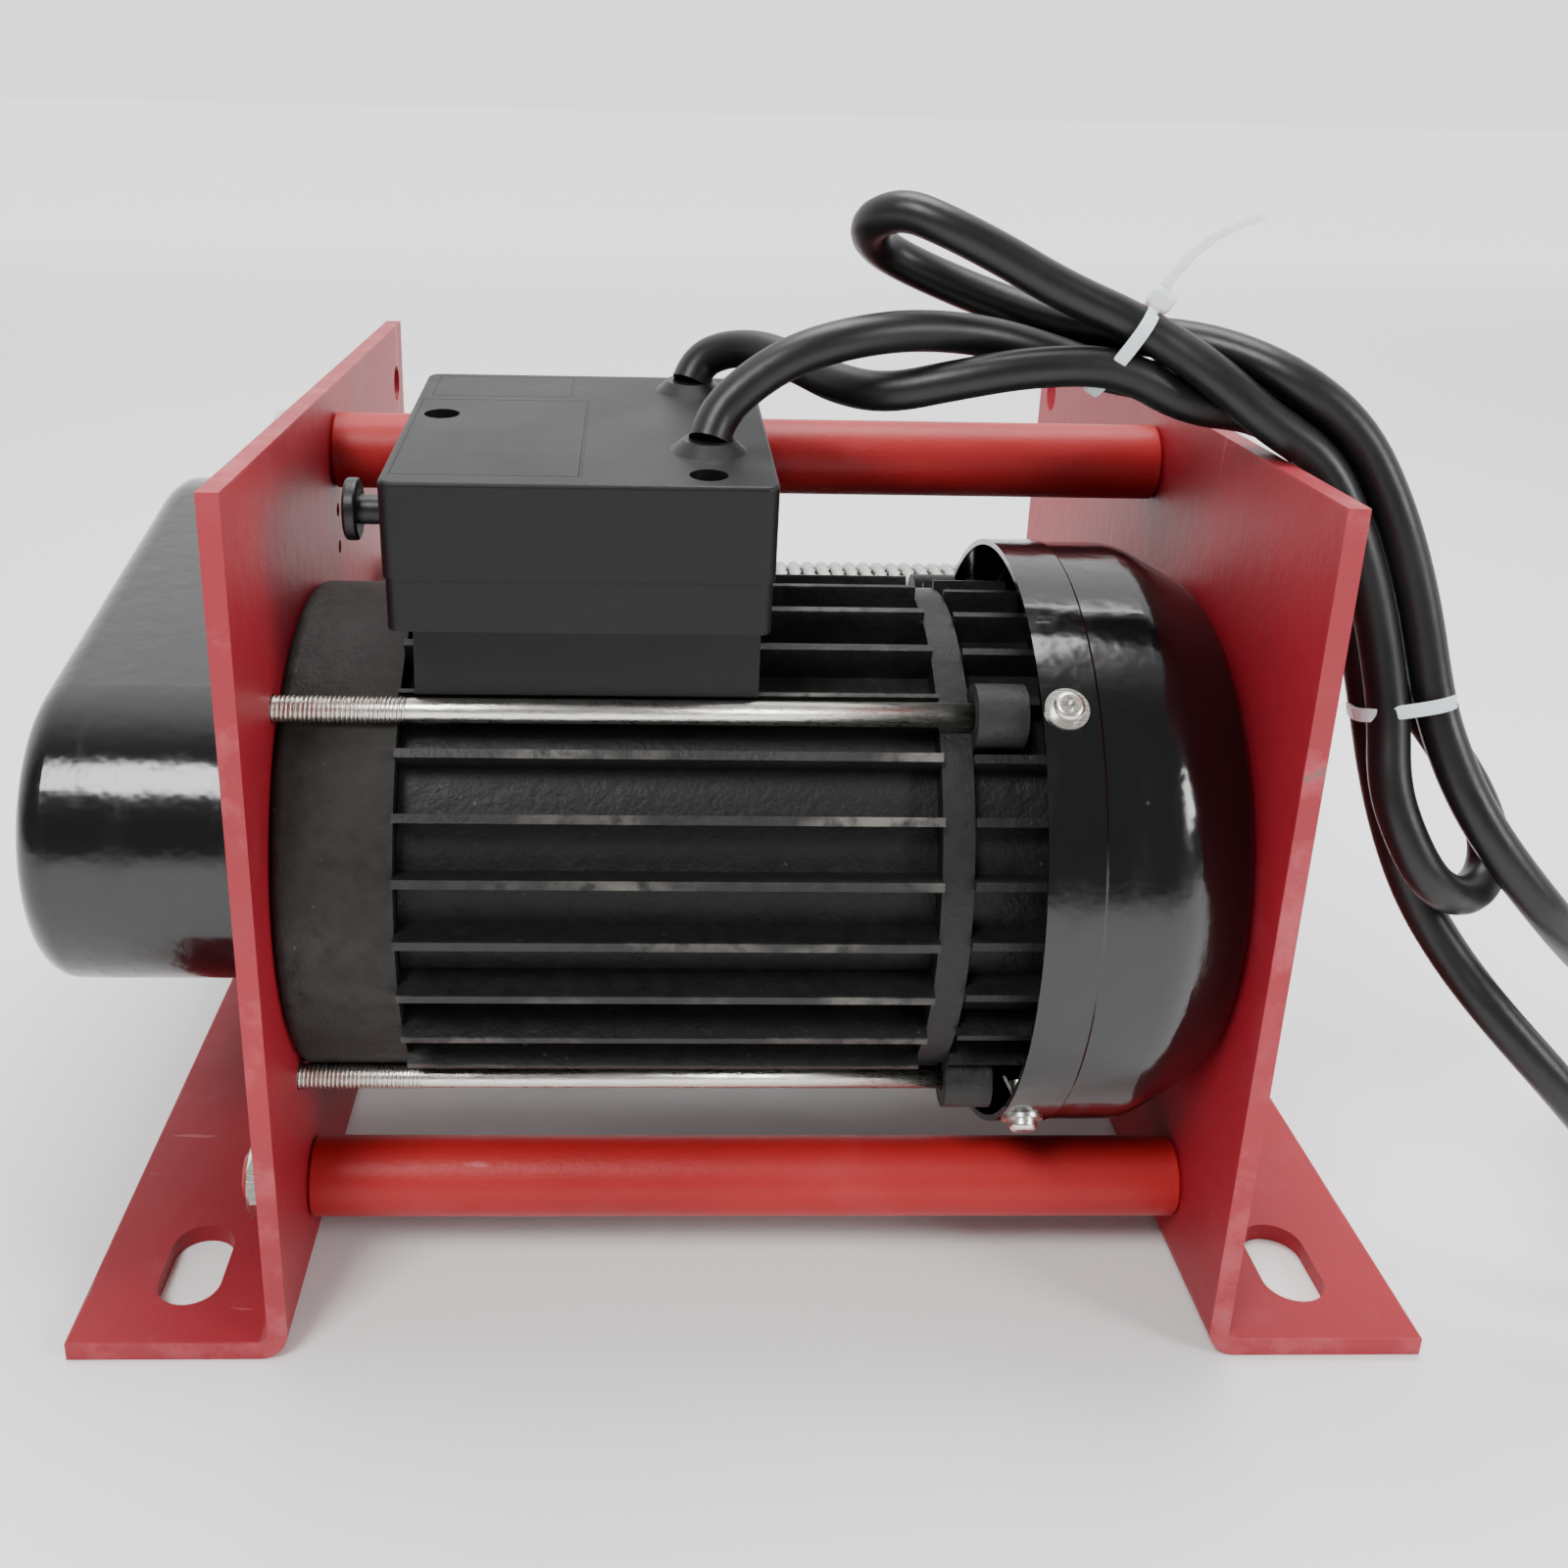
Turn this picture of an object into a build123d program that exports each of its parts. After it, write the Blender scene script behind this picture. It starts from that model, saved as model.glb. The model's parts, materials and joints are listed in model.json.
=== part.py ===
from build123d import *
import math
import os

# An electric wire-rope winch.  Two red side plates with outward feet are held apart
# by three tie rods.  A finned motor lies across the front, the rope drum lies behind
# it, and a two-stage gear train in a pressed cover on the left joins them.
# Millimetres.  X runs across the winch, Y to the back, Z up from the floor.
# The origin is on the floor, midway between the side plates.

# ---- frame ----
PLATE_GAP = 214.0
PLATE_T = 4.5
PLATE_H = 204.0
PLATE_D = 241.0
FOOT_OUT = 46.3
FOOT_BEND_R = 7.0
HALF_GAP = PLATE_GAP / 2
PLATE_OUT = HALF_GAP + PLATE_T
SLOT_W = 15.0
SLOT_L = 28.0
SLOT_X = PLATE_OUT + 23.1
SLOT_Y = 94.0
LIFT_HOLE_R = 5.5
LIFT_HOLE_YZ = (106.5, 186.0)
ROD_R = 9.7
ROD_END_R = 6.0
ROD_END_OUT = 12.0
NUT_AF = 19.0
NUT_H = 10.0
ROD_PLACES = {"upper_tie_rod": (-2.7, 187.2), "front_tie_rod": (-83.5, 22.6),
              "rear_tie_rod": (83.5, 22.6)}

# ---- drive line ----
AXIS_Z = 103.0
MOTOR_Y = -48.7
LAY_Y = MOTOR_Y + 48.0
DRUM_Y = LAY_Y + 62.0
SHAFT_R = 7.0
LAY_R = 6.0
DRUM_SHAFT_R = 10.0
RUN_GAP = 0.04
MODULE_FAST = 1.5
MODULE_SLOW = 2.0
PINION_T = 12
LAY_GEAR_T = 52
DRUM_GEAR_T = 50
PRESSURE_ANGLE = math.radians(25)
TOOTH_THINNING = 0.30
FAST_PLANE_X = -140.0
SLOW_PLANE_X = -126.0
GEAR_W = 10.0

# ---- motor ----
END_COVER_R = 60.0
END_COVER_LEN = 26.6
STATOR_X = (-HALF_GAP + END_COVER_LEN, 45.0)
STATOR_BASE_R = 54.0
STATOR_FIN_R = 63.0
STATOR_BORE_R = 48.0
FIN_COUNT = 28
FIN_T = 2.0
BRACKET_X = (45.0, 63.0)
BRACKET_R = 62.0
FAN_COVER_R = 72.5
FAN_COVER_X = (57.8, 88.0, 105.5)
FAN_COVER_BACK_R = 62.5
COVER_STEP_X = 70.0
COVER_STEP = 0.5
COVER_SHOULDER_R = 14.0
COVER_BACK_EDGE_R = 4.0
SHEET_T = 1.4
THROUGH_BOLT_YZ = (42.3, 46.4)
THROUGH_BOLT_R = 3.0
COVER_SCREW_X = 63.0

# ---- gear cover ----
COVER_X = -170.0
COVER_FRONT_R = 39.0
COVER_REAR_R = 60.0
COVER_EDGE_R = 7.0
COVER_WALL = 1.6
POSTS = ((-74.0, 0.0), (-35.0, 34.0), (-35.0, -34.0))
BEARING_PLATE_X = (-146.0, -143.0)

# ---- drum ----
DRUM_R = 32.1
DRUM_BORE_R = 26.0
DRUM_HALF = 103.0
ROPE_R = 2.1
ROPE_PITCH = 4.4
ROPE_TURNS = 44

# ---- control box, laid out in its own frame at the top front edge ----
BOX_W = 80.2
BOX_D = 89.0
BOX_LID_H = 20.5
BOX_BASE_H = 11.5
BOX_WALL = 2.4
BOX_TILT = 4.5
BOX_PLACE = Location((-40.4, -105.0, 202.8), (BOX_TILT, 0, 0))
BOX_SCREWS = ((-32.7, 51.3), (26.0, 7.8))
GROMMETS = ((26.6, 25.8), (24.0, 76.2))
PLUNGER_YZ = (19.0, -12.0)

# ---- cords ----
CORD_R = 4.5
MAINS_ROUTE = [
    (-16.4, -29.4, 210.8), (-14.8, -27.7, 214.9), (-9.3, -28.8, 218.4), (-1.0, -33.9, 219.8),
    (8.1, -44.5, 217.9), (15.6, -55.4, 215.2), (25.8, -64.4, 214.7), (40.3, -67.8, 218.6),
    (57.3, -68.3, 221.9), (75.9, -68.2, 222.3), (91.7, -68.1, 213.8), (108.5, -67.5, 212.5),
    (120.8, -70.3, 204.5), (126.0, -73.3, 189.9), (131.8, -78.0, 171.5), (136.3, -83.9, 149.8),
    (138.4, -88.7, 136.4), (143.1, -91.1, 121.7), (148.8, -95.2, 108.0), (155.7, -101.8, 96.6),
    (163.3, -110.9, 87.0), (176.2, -119.4, 73.8), (190.0, -121.0, 59.0), (204.0, -122.0, 43.0),
    (220.0, -122.2, 26.5), (236.0, -121.0, 13.0), (250.0, -119.5, 6.5), (264.0, -117.5, 5.5),
    (278.0, -114.5, 6.5)]
CONTROL_ROUTE = [
    (-13.8, -79.6, 206.8), (-12.4, -77.0, 211.5), (-5.8, -74.8, 218.1), (4.3, -72.9, 224.4),
    (17.6, -70.0, 227.9), (31.9, -64.8, 228.9), (49.0, -57.7, 226.8), (64.2, -55.5, 222.6),
    (76.8, -59.1, 218.8), (95.7, -58.4, 216.7), (112.8, -64.2, 217.3), (125.4, -68.3, 208.7),
    (134.5, -72.2, 193.6), (141.3, -77.5, 173.9), (145.9, -83.6, 151.7), (154.2, -87.6, 140.9),
    (161.0, -90.5, 130.9), (165.2, -93.5, 120.2), (161.5, -99.2, 113.1), (153.7, -104.5, 112.2),
    (145.5, -106.8, 117.0), (139.8, -104.4, 125.8), (135.4, -99.9, 137.7), (136.1, -93.4, 152.3),
    (131.7, -87.5, 174.1), (125.5, -82.8, 192.4), (118.2, -79.7, 205.3), (106.2, -77.8, 212.3),
    (93.5, -72.9, 222.7), (79.3, -65.1, 231.0), (62.5, -64.8, 237.6), (48.5, -62.6, 245.1),
    (36.6, -61.3, 250.5), (28.5, -57.8, 253.5), (22.5, -53.1, 251.3), (22.2, -46.1, 247.0),
    (27.5, -40.4, 242.7), (37.8, -39.3, 238.0), (51.6, -42.7, 232.9), (65.9, -49.0, 228.7),
    (80.1, -56.0, 227.5), (97.5, -63.2, 226.7), (111.6, -74.5, 221.6), (125.5, -77.7, 211.6),
    (134.5, -81.7, 196.1), (141.2, -87.0, 176.5), (145.7, -93.1, 154.2), (149.0, -98.2, 143.6),
    (153.7, -103.2, 133.3), (161.1, -107.4, 122.7), (174.1, -109.9, 108.4), (190.0, -98.0, 94.0),
    (206.0, -84.0, 80.0), (224.0, -67.2, 66.0), (242.0, -52.0, 53.5), (260.0, -37.6, 43.0),
    (280.0, -24.0, 34.0), (300.0, -11.0, 26.0), (318.0, 1.0, 16.5), (334.0, 10.0, 9.0),
    (353.0, 20.0, 7.0)]
MAINS_TAIL = [(343.5, -56.0, 8.0), (346.0, -44.0, 8.5), (353.5, -34.0, 9.5), (364.5, -30.0, 11.0),
              (375.5, -34.0, 12.5), (381.5, -43.0, 13.5), (383.0, -55.0, 14.0)]
CONTROL_TAIL = [(420.5, 78.0, 8.0), (423.0, 91.0, 8.5), (430.0, 102.0, 10.0), (441.0, 106.5, 12.5),
                (452.0, 102.5, 15.0), (459.0, 92.0, 17.0), (461.0, 78.0, 18.0)]
COIL_MEAN_R = 48.0
COIL_R = 10.0
MAINS_COIL_AT = (295.0, -68.0)
CONTROL_COIL_AT = (372.0, 66.0)
PLUG_AT = (383.0, -55.0, 14.0)
PENDANT_AT = (461.0, 74.0, 18.0)
PENDANT_L = 142.0
PENDANT_W = 46.0
PENDANT_H = 30.0
BUTTON_R = 9.0
BUTTON_Y = (34.0, 62.0)
STOP_Y = 100.0
STOP_R = 11.0


def cyl_x(radius, x0, x1, y=0.0, z=0.0):
    """A solid cylinder along X from x0 to x1."""
    return Pos((x0 + x1) / 2, y, z) * Cylinder(radius, x1 - x0, rotation=(0, 90, 0))


def tube_x(outer, inner, x0, x1, y=0.0, z=0.0):
    """A tube along X."""
    return cyl_x(outer, x0, x1, y, z) - cyl_x(inner, x0 - 1, x1 + 1, y, z)


def box_between(x, y, z):
    """A box from three (low, high) pairs."""
    return Pos(sum(x) / 2, sum(y) / 2, sum(z) / 2) * Box(x[1] - x[0], y[1] - y[0], z[1] - z[0])


def hull_x(circles, x0, x1):
    """The hull of circles (y, z, r), extruded along X from x0 to x1."""
    outline = make_hull([Pos(y, z) * CenterArc((0, 0), r, 0, 360) for y, z, r in circles])
    plane = Plane(origin=(x0, 0, 0), x_dir=(0, 1, 0), z_dir=(1, 0, 0))
    return extrude(plane * outline, x1 - x0)


def hexagon_x(across_flats, x0, x1, y, z):
    """A hexagonal prism along X."""
    plane = Plane(origin=(x0, y, z), x_dir=(0, 1, 0), z_dir=(1, 0, 0))
    return extrude(plane * RegularPolygon(across_flats / math.sqrt(3), 6), x1 - x0)


def side_plate(side):
    """One bent plate: side is -1 for left, 1 for right."""
    outer, foot = PLATE_OUT, PLATE_OUT + FOOT_OUT
    points = [(HALF_GAP, 0), (foot, 0), (foot, PLATE_T), (outer, PLATE_T),
              (outer, PLATE_H), (HALF_GAP, PLATE_H)]
    face = make_face(Polyline(*[(side * x, z) for x, z in points], close=True))
    corners = face.vertices()
    bend = [v for v in corners if abs(abs(v.X) - HALF_GAP) < 0.01 and abs(v.Y) < 0.01]
    inner = [v for v in corners if abs(abs(v.X) - outer) < 0.01 and abs(v.Y - PLATE_T) < 0.01]
    face = fillet(bend, FOOT_BEND_R)
    face = fillet([v for v in face.vertices()
                   if (v.center() - inner[0].center()).length < 0.01], FOOT_BEND_R - PLATE_T)
    plate = extrude(Plane.XZ * face, PLATE_D / 2, both=True)
    low, high = sorted((side * (HALF_GAP - 1), side * (outer + 1)))
    for y, z in ROD_PLACES.values():
        plate -= cyl_x(ROD_END_R + 0.2, low, high, y, z)
    plate -= cyl_x(LIFT_HOLE_R, low, high, *LIFT_HOLE_YZ)
    plate -= cyl_x(DRUM_SHAFT_R + 3.0, low, high, DRUM_Y, AXIS_Z)
    if side < 0:
        plate -= cyl_x(SHAFT_R + 2.0, low, high, MOTOR_Y, AXIS_Z)
        plate -= cyl_x(LAY_R + 2.5, low, high, LAY_Y, AXIS_Z)
        plate -= cyl_x(1.8, low, high, -4.8, 161.8)
        plate -= cyl_x(1.8, low, high, -4.8, 171.8)
        for y, z in bolt_places():
            plate -= cyl_x(THROUGH_BOLT_R + 0.2, low, high, y, z)
    for y in (-SLOT_Y, SLOT_Y):
        slot = extrude(SlotOverall(SLOT_L, SLOT_W, rotation=90), PLATE_T + 2)
        plate -= Pos(side * SLOT_X, y, -1) * slot
    return plate


def bolt_places():
    """The four through-bolt centres around the motor axis."""
    dy, dz = THROUGH_BOLT_YZ
    return [(MOTOR_Y + sy * dy, AXIS_Z + sz * dz) for sy in (-1, 1) for sz in (-1, 1)]


def tie_rod(y, z):
    """A shouldered rod with threaded ends through both plates."""
    tip = PLATE_OUT + ROD_END_OUT
    rod = cyl_x(ROD_R, -HALF_GAP, HALF_GAP, y, z)
    rod = chamfer(rod.edges().filter_by(GeomType.CIRCLE), 0.8)
    end = chamfer(cyl_x(ROD_END_R, -tip, tip, y, z).edges().filter_by(GeomType.CIRCLE), 0.8)
    return rod + end


def tie_rod_nuts():
    """Six hexagon nuts on the outsides of the plates."""
    nuts = []
    for y, z in ROD_PLACES.values():
        for side in (-1, 1):
            x0, x1 = sorted((side * PLATE_OUT, side * (PLATE_OUT + NUT_H)))
            nut = hexagon_x(NUT_AF, x0, x1, y, z)
            nut &= chamfer(cyl_x(NUT_AF / 2 + 1.2, x0, x1, y, z).edges(), 1.0)
            nuts.append(nut - cyl_x(ROD_END_R + 0.05, x0 - 1, x1 + 1, y, z))
    return nuts


def drive_end_cover():
    """The smooth motor end against the left plate, with its bearing hub."""
    x0, x1 = -HALF_GAP, STATOR_X[0]
    shell = cyl_x(END_COVER_R, x0, x1, MOTOR_Y, AXIS_Z)
    shell = fillet(shell.edges().group_by(Axis.X)[0], 3.0)
    shell -= cyl_x(END_COVER_R - 4.5, x0 + 5, x1 + 1, MOTOR_Y, AXIS_Z)
    shell += tube_x(22.0, 16.0, x0 + 4, x0 + 16, MOTOR_Y, AXIS_Z)
    for y, z in bolt_places():
        shell -= cyl_x(THROUGH_BOLT_R + 0.3, x0 - 1, x1 + 1, y, z)
    return shell - cyl_x(16.0, x0 + 4, x0 + 30, MOTOR_Y, AXIS_Z) - cyl_x(
        SHAFT_R + 1.0, x0 - 1, x0 + 10, MOTOR_Y, AXIS_Z)


def fin_ring(count, inner, outer, thick, x0, x1):
    """Radial fins around the motor axis as one tool body."""
    fin = box_between((x0, x1), (inner, outer), (-thick / 2, thick / 2))
    ring = Compound(children=[Rot(360.0 * i / count, 0, 0) * fin for i in range(count)])
    return Pos(0, MOTOR_Y, AXIS_Z) * ring


def stator_housing():
    """The finned aluminium tube with its turned end ring."""
    x0, x1 = STATOR_X
    body = tube_x(STATOR_BASE_R, STATOR_BORE_R, x0, x1, MOTOR_Y, AXIS_Z)
    for fin in fin_ring(FIN_COUNT, STATOR_BASE_R - 1, STATOR_FIN_R, FIN_T, x0, x1 - 7).solids():
        body += fin
    body += tube_x(END_COVER_R, STATOR_BORE_R, x1 - 7, x1, MOTOR_Y, AXIS_Z)
    for y, z in bolt_places():
        body -= cyl_x(THROUGH_BOLT_R + 1.2, x0 - 1, x1 + 1, y, z)
    return body


def fan_end_bracket():
    """The short-ribbed bracket at the fan end, with lugs for the through bolts."""
    x0, x1 = BRACKET_X
    body = tube_x(55.0, 44.0, x0, x1, MOTOR_Y, AXIS_Z)
    for fin in fin_ring(FIN_COUNT, 54.0, BRACKET_R, FIN_T, x0, x1).solids():
        body += fin
    body += cyl_x(46.0, x0, x0 + 5, MOTOR_Y, AXIS_Z)
    body += cyl_x(22.0, x0 - 8, x0 + 5, MOTOR_Y, AXIS_Z)
    for y, z in bolt_places():
        lug = hull_x([(y, z, 7.0), (MOTOR_Y + 0.8 * (y - MOTOR_Y), AXIS_Z + 0.8 * (z - AXIS_Z), 7.0)],
                     x0, x0 + 11)
        body += lug
        body -= cyl_x(THROUGH_BOLT_R + 0.1, x0 - 1, x0 + 9, y, z)
    body -= cyl_x(16.0, x0 - 10, x0 + 3, MOTOR_Y, AXIS_Z)
    return body - cyl_x(SHAFT_R + 1.0, x0, x1, MOTOR_Y, AXIS_Z)


def fan_cover():
    """The pressed cowl: a band, a cone and a vented back."""
    x0, x1, x2 = FAN_COVER_X

    def skin(grow, start, end):
        rim = FAN_COVER_R + grow
        face = make_face(Polyline((start, 0), (start, rim), (COVER_STEP_X, rim),
                                  (COVER_STEP_X + 0.6, rim - COVER_STEP), (x1, rim - COVER_STEP),
                                  (end, FAN_COVER_BACK_R + grow), (end, 0), close=True))
        shoulder = [v for v in face.vertices() if abs(v.X - x1) < 0.01 and v.Y > 1]
        face = fillet(shoulder, COVER_SHOULDER_R)
        back = [v for v in face.vertices() if abs(v.X - end) < 0.01 and v.Y > 1]
        face = fillet(back, COVER_BACK_EDGE_R + grow)
        return Pos(0, MOTOR_Y, AXIS_Z) * revolve(Plane.XY * face, Axis.X)
    body = skin(0, x0, x2) - skin(-SHEET_T, x0 - 1, x2 - SHEET_T)
    for ring, count in ((18.0, 8), (34.0, 14), (50.0, 20)):
        for i in range(count):
            angle = 2 * math.pi * i / count
            body -= cyl_x(3.6, x2 - 4, x2 + 1, MOTOR_Y + ring * math.cos(angle),
                          AXIS_Z + ring * math.sin(angle))
    for y, z in cover_screw_places(FAN_COVER_R):
        body -= Pos(COVER_SCREW_X, y, z) * screw_turn(y, z) * Cylinder(2.2, 12)
    return body


def cover_screw_places(radius):
    """Four places at 45 degrees around the fan cover."""
    step = radius * math.sqrt(0.5)
    return [(MOTOR_Y + sy * step, AXIS_Z + sz * step) for sy in (-1, 1) for sz in (-1, 1)]


def screw_turn(y, z):
    """Turns local +Z to point away from the motor axis."""
    return Rot(math.degrees(math.atan2(-(y - MOTOR_Y), z - AXIS_Z)), 0, 0)


def pan_screw(head_r, head_h, shank_r, shank_l):
    """A pan-head screw standing on Z = 0 with its shank below."""
    head = Pos(0, 0, head_h / 2) * Cylinder(head_r, head_h)
    head = fillet(head.edges().group_by(Axis.Z)[-1], head_h * 0.5)
    head -= Pos(0, 0, head_h) * Box(head_r, 1.0, head_h)
    head -= Pos(0, 0, head_h) * Box(1.0, head_r, head_h)
    return head + Pos(0, 0, -shank_l / 2) * Cylinder(shank_r, shank_l)


def fan_cover_screws():
    """Four pan-head screws with washers through the fan cover band."""
    screws = []
    for y, z in cover_screw_places(FAN_COVER_R - 0.25):
        screw = Pos(0, 0, 1.0) * pan_screw(3.4, 2.6, 2.0, 9.0) + Pos(0, 0, 0.5) * Cylinder(4.8, 1.0)
        screws.append(Pos(COVER_SCREW_X, y, z) * screw_turn(y, z) * screw)
    return screws


def motor_through_bolts():
    """Four long studs that clamp the motor to the left plate."""
    x1 = BRACKET_X[0] + 9
    bolts = []
    for y, z in bolt_places():
        bolt = cyl_x(THROUGH_BOLT_R, -PLATE_OUT, x1, y, z)
        bolts.append(bolt)
    return bolts


def motor_shaft():
    """The rotor's shaft, from the pinion to the fan."""
    return cyl_x(SHAFT_R, FAST_PLANE_X - 1, 96.0, MOTOR_Y, AXIS_Z)


def gear_outline(teeth, module, phase):
    """An involute gear face with thinned teeth; a tooth is centred at phase, in radians."""
    pitch = teeth * module / 2
    base = pitch * math.cos(PRESSURE_ANGLE)
    root, tip = pitch - 1.2 * module, pitch + 0.92 * module

    def involute(radius):
        angle = math.acos(min(1.0, base / radius))
        return math.tan(angle) - angle
    half = math.pi / 2 / teeth - TOOTH_THINNING / 2 / pitch
    start = max(root, base)
    radii = [start + (tip - start) * k / 3 for k in range(4)]
    flank = [(r, half + involute(pitch) - involute(r)) for r in radii]
    if root < base:
        flank.insert(0, (root, flank[0][1]))
    points = []
    for i in range(teeth):
        centre = phase + 2 * math.pi * i / teeth
        for r, a in flank:
            points.append((r * math.cos(centre - a), r * math.sin(centre - a)))
        for r, a in reversed(flank):
            points.append((r * math.cos(centre + a), r * math.sin(centre + a)))
    return make_face(Polyline(*points, close=True))


def spur_gear(teeth, module, phase, x0, y, bore):
    """A spur gear along X with its low face at x0."""
    plane = Plane(origin=(x0, y, AXIS_Z), x_dir=(0, 1, 0), z_dir=(1, 0, 0))
    gear = extrude(plane * gear_outline(teeth, module, phase), GEAR_W)
    return gear - cyl_x(bore, x0 - 1, x0 + GEAR_W + 1, y, AXIS_Z)


def lightened(gear, x0, y, ring, hole_r, count):
    """A gear with lightening holes on a ring."""
    for i in range(count):
        angle = 2 * math.pi * (i + 0.5) / count
        gear -= cyl_x(hole_r, x0 - 1, x0 + GEAR_W + 1, y + ring * math.cos(angle),
                      AXIS_Z + ring * math.sin(angle))
    return gear


def gear_train():
    """The motor pinion, the layshaft gears and the drum gear, in mesh at rest."""
    lay_gear = spur_gear(LAY_GEAR_T, MODULE_FAST, math.pi / LAY_GEAR_T, FAST_PLANE_X, LAY_Y, LAY_R)
    drum_gear = spur_gear(DRUM_GEAR_T, MODULE_SLOW, math.pi / DRUM_GEAR_T, SLOW_PLANE_X, DRUM_Y,
                          DRUM_SHAFT_R)
    return {
        "motor_pinion": spur_gear(PINION_T, MODULE_FAST, 0.0, FAST_PLANE_X, MOTOR_Y, 6.0)
        + cyl_x(6.0, FAST_PLANE_X, FAST_PLANE_X + GEAR_W, MOTOR_Y, AXIS_Z),
        "layshaft_gear": lightened(lay_gear, FAST_PLANE_X, LAY_Y, 24.0, 6.0, 6),
        "layshaft_pinion": spur_gear(PINION_T, MODULE_SLOW, 0.0, SLOW_PLANE_X, LAY_Y, LAY_R),
        "drum_gear": lightened(drum_gear, SLOW_PLANE_X, DRUM_Y, 30.0, 8.0, 6)}


def layshaft():
    """The short intermediate shaft between its two bushes."""
    return cyl_x(LAY_R, BEARING_PLATE_X[0] - 1, -HALF_GAP - 0.5, LAY_Y, AXIS_Z)


def layshaft_bushes():
    """Bronze bushes in the left plate and the bearing plate."""
    return [tube_x(LAY_R + 2.5, LAY_R + RUN_GAP, -PLATE_OUT, -HALF_GAP, LAY_Y, AXIS_Z),
            tube_x(LAY_R + 2.5, LAY_R + RUN_GAP, *BEARING_PLATE_X, LAY_Y, AXIS_Z)]


def gearbox_bearing_plate():
    """The inner plate that carries the layshaft's outer end."""
    circles = [(y, AXIS_Z + z, 5.0) for y, z in POSTS] + [(LAY_Y, AXIS_Z, 14.0)]
    plate = hull_x(circles, *BEARING_PLATE_X)
    plate -= cyl_x(LAY_R + 2.5, -150, -140, LAY_Y, AXIS_Z)
    for y, z in POSTS:
        plate -= cyl_x(2.1, -150, -140, y, AXIS_Z + z)
    return plate


def gearbox_posts():
    """Three spacer posts between the left plate and the bearing plate."""
    return [cyl_x(4.0, BEARING_PLATE_X[1], -PLATE_OUT, y, AXIS_Z + z)
            + cyl_x(2.1, BEARING_PLATE_X[0] - 3, BEARING_PLATE_X[1], y, AXIS_Z + z) for y, z in POSTS]


def gear_cover():
    """The deep pressed cover over the gear train."""
    circles = [(MOTOR_Y, AXIS_Z, COVER_FRONT_R), (DRUM_Y, AXIS_Z, COVER_REAR_R)]
    outer = hull_x(circles, COVER_X, -PLATE_OUT)
    outer = fillet(outer.edges().group_by(Axis.X)[0], COVER_EDGE_R)
    inner = hull_x([(y, z, r - COVER_WALL) for y, z, r in circles], COVER_X + COVER_WALL, -PLATE_OUT + 1)
    inner = fillet(inner.edges().group_by(Axis.X)[0], COVER_EDGE_R - COVER_WALL)
    body = outer - inner
    for y, z, ty, tz in cover_tabs():
        tab = box_between((-PLATE_OUT - COVER_WALL, -PLATE_OUT), (y - 6, y + 6), (z - 6, z + 6))
        body += (tab - inner) - cyl_x(2.2, -PLATE_OUT - 3, -PLATE_OUT + 1, ty, tz)
    return body


def cover_tabs():
    """Fixing tabs: centre of the tab, then its screw."""
    front = MOTOR_Y - COVER_FRONT_R - 4
    top = AXIS_Z + COVER_REAR_R + 4
    return [(front, AXIS_Z, front - 1, AXIS_Z), (DRUM_Y, top, DRUM_Y, top + 1),
            (DRUM_Y, 2 * AXIS_Z - top, DRUM_Y, 2 * AXIS_Z - top - 1)]


def gear_cover_screws():
    """Three screws through the cover's tabs."""
    screw = Rot(0, -90, 0) * pan_screw(3.6, 2.6, 1.9, COVER_WALL)
    return [Pos(-PLATE_OUT - COVER_WALL, y, z) * screw for _, _, y, z in cover_tabs()]


def motor_insides():
    """Stator core, windings, rotor, fan and bearings."""
    core = tube_x(STATOR_BORE_R, 30.6, -60.0, 22.0, MOTOR_Y, AXIS_Z)
    ends = [tube_x(44.0, 32.5, -74.0, -60.0, MOTOR_Y, AXIS_Z),
            tube_x(44.0, 32.5, 22.0, 34.0, MOTOR_Y, AXIS_Z)]
    rotor = tube_x(30.0, SHAFT_R, -58.0, 20.0, MOTOR_Y, AXIS_Z)
    fan = tube_x(14.0, SHAFT_R, 72.0, 94.0, MOTOR_Y, AXIS_Z) + tube_x(52.0, SHAFT_R, 72.0, 74.5,
                                                                       MOTOR_Y, AXIS_Z)
    blade = box_between((73.0, 92.0), (12.0, 52.0), (-1.0, 1.0))
    for i in range(9):
        fan += Pos(0, MOTOR_Y, AXIS_Z) * Rot(40.0 * i, 0, 0) * blade
    bearings = [tube_x(16.0, SHAFT_R + RUN_GAP, x, x + 10.0, MOTOR_Y, AXIS_Z)
                for x in (-HALF_GAP + 5, BRACKET_X[0] - 8)]
    return {"stator_core": core, "stator_windings": ends, "rotor_core": rotor,
            "cooling_fan": fan, "motor_bearings": bearings}


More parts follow.
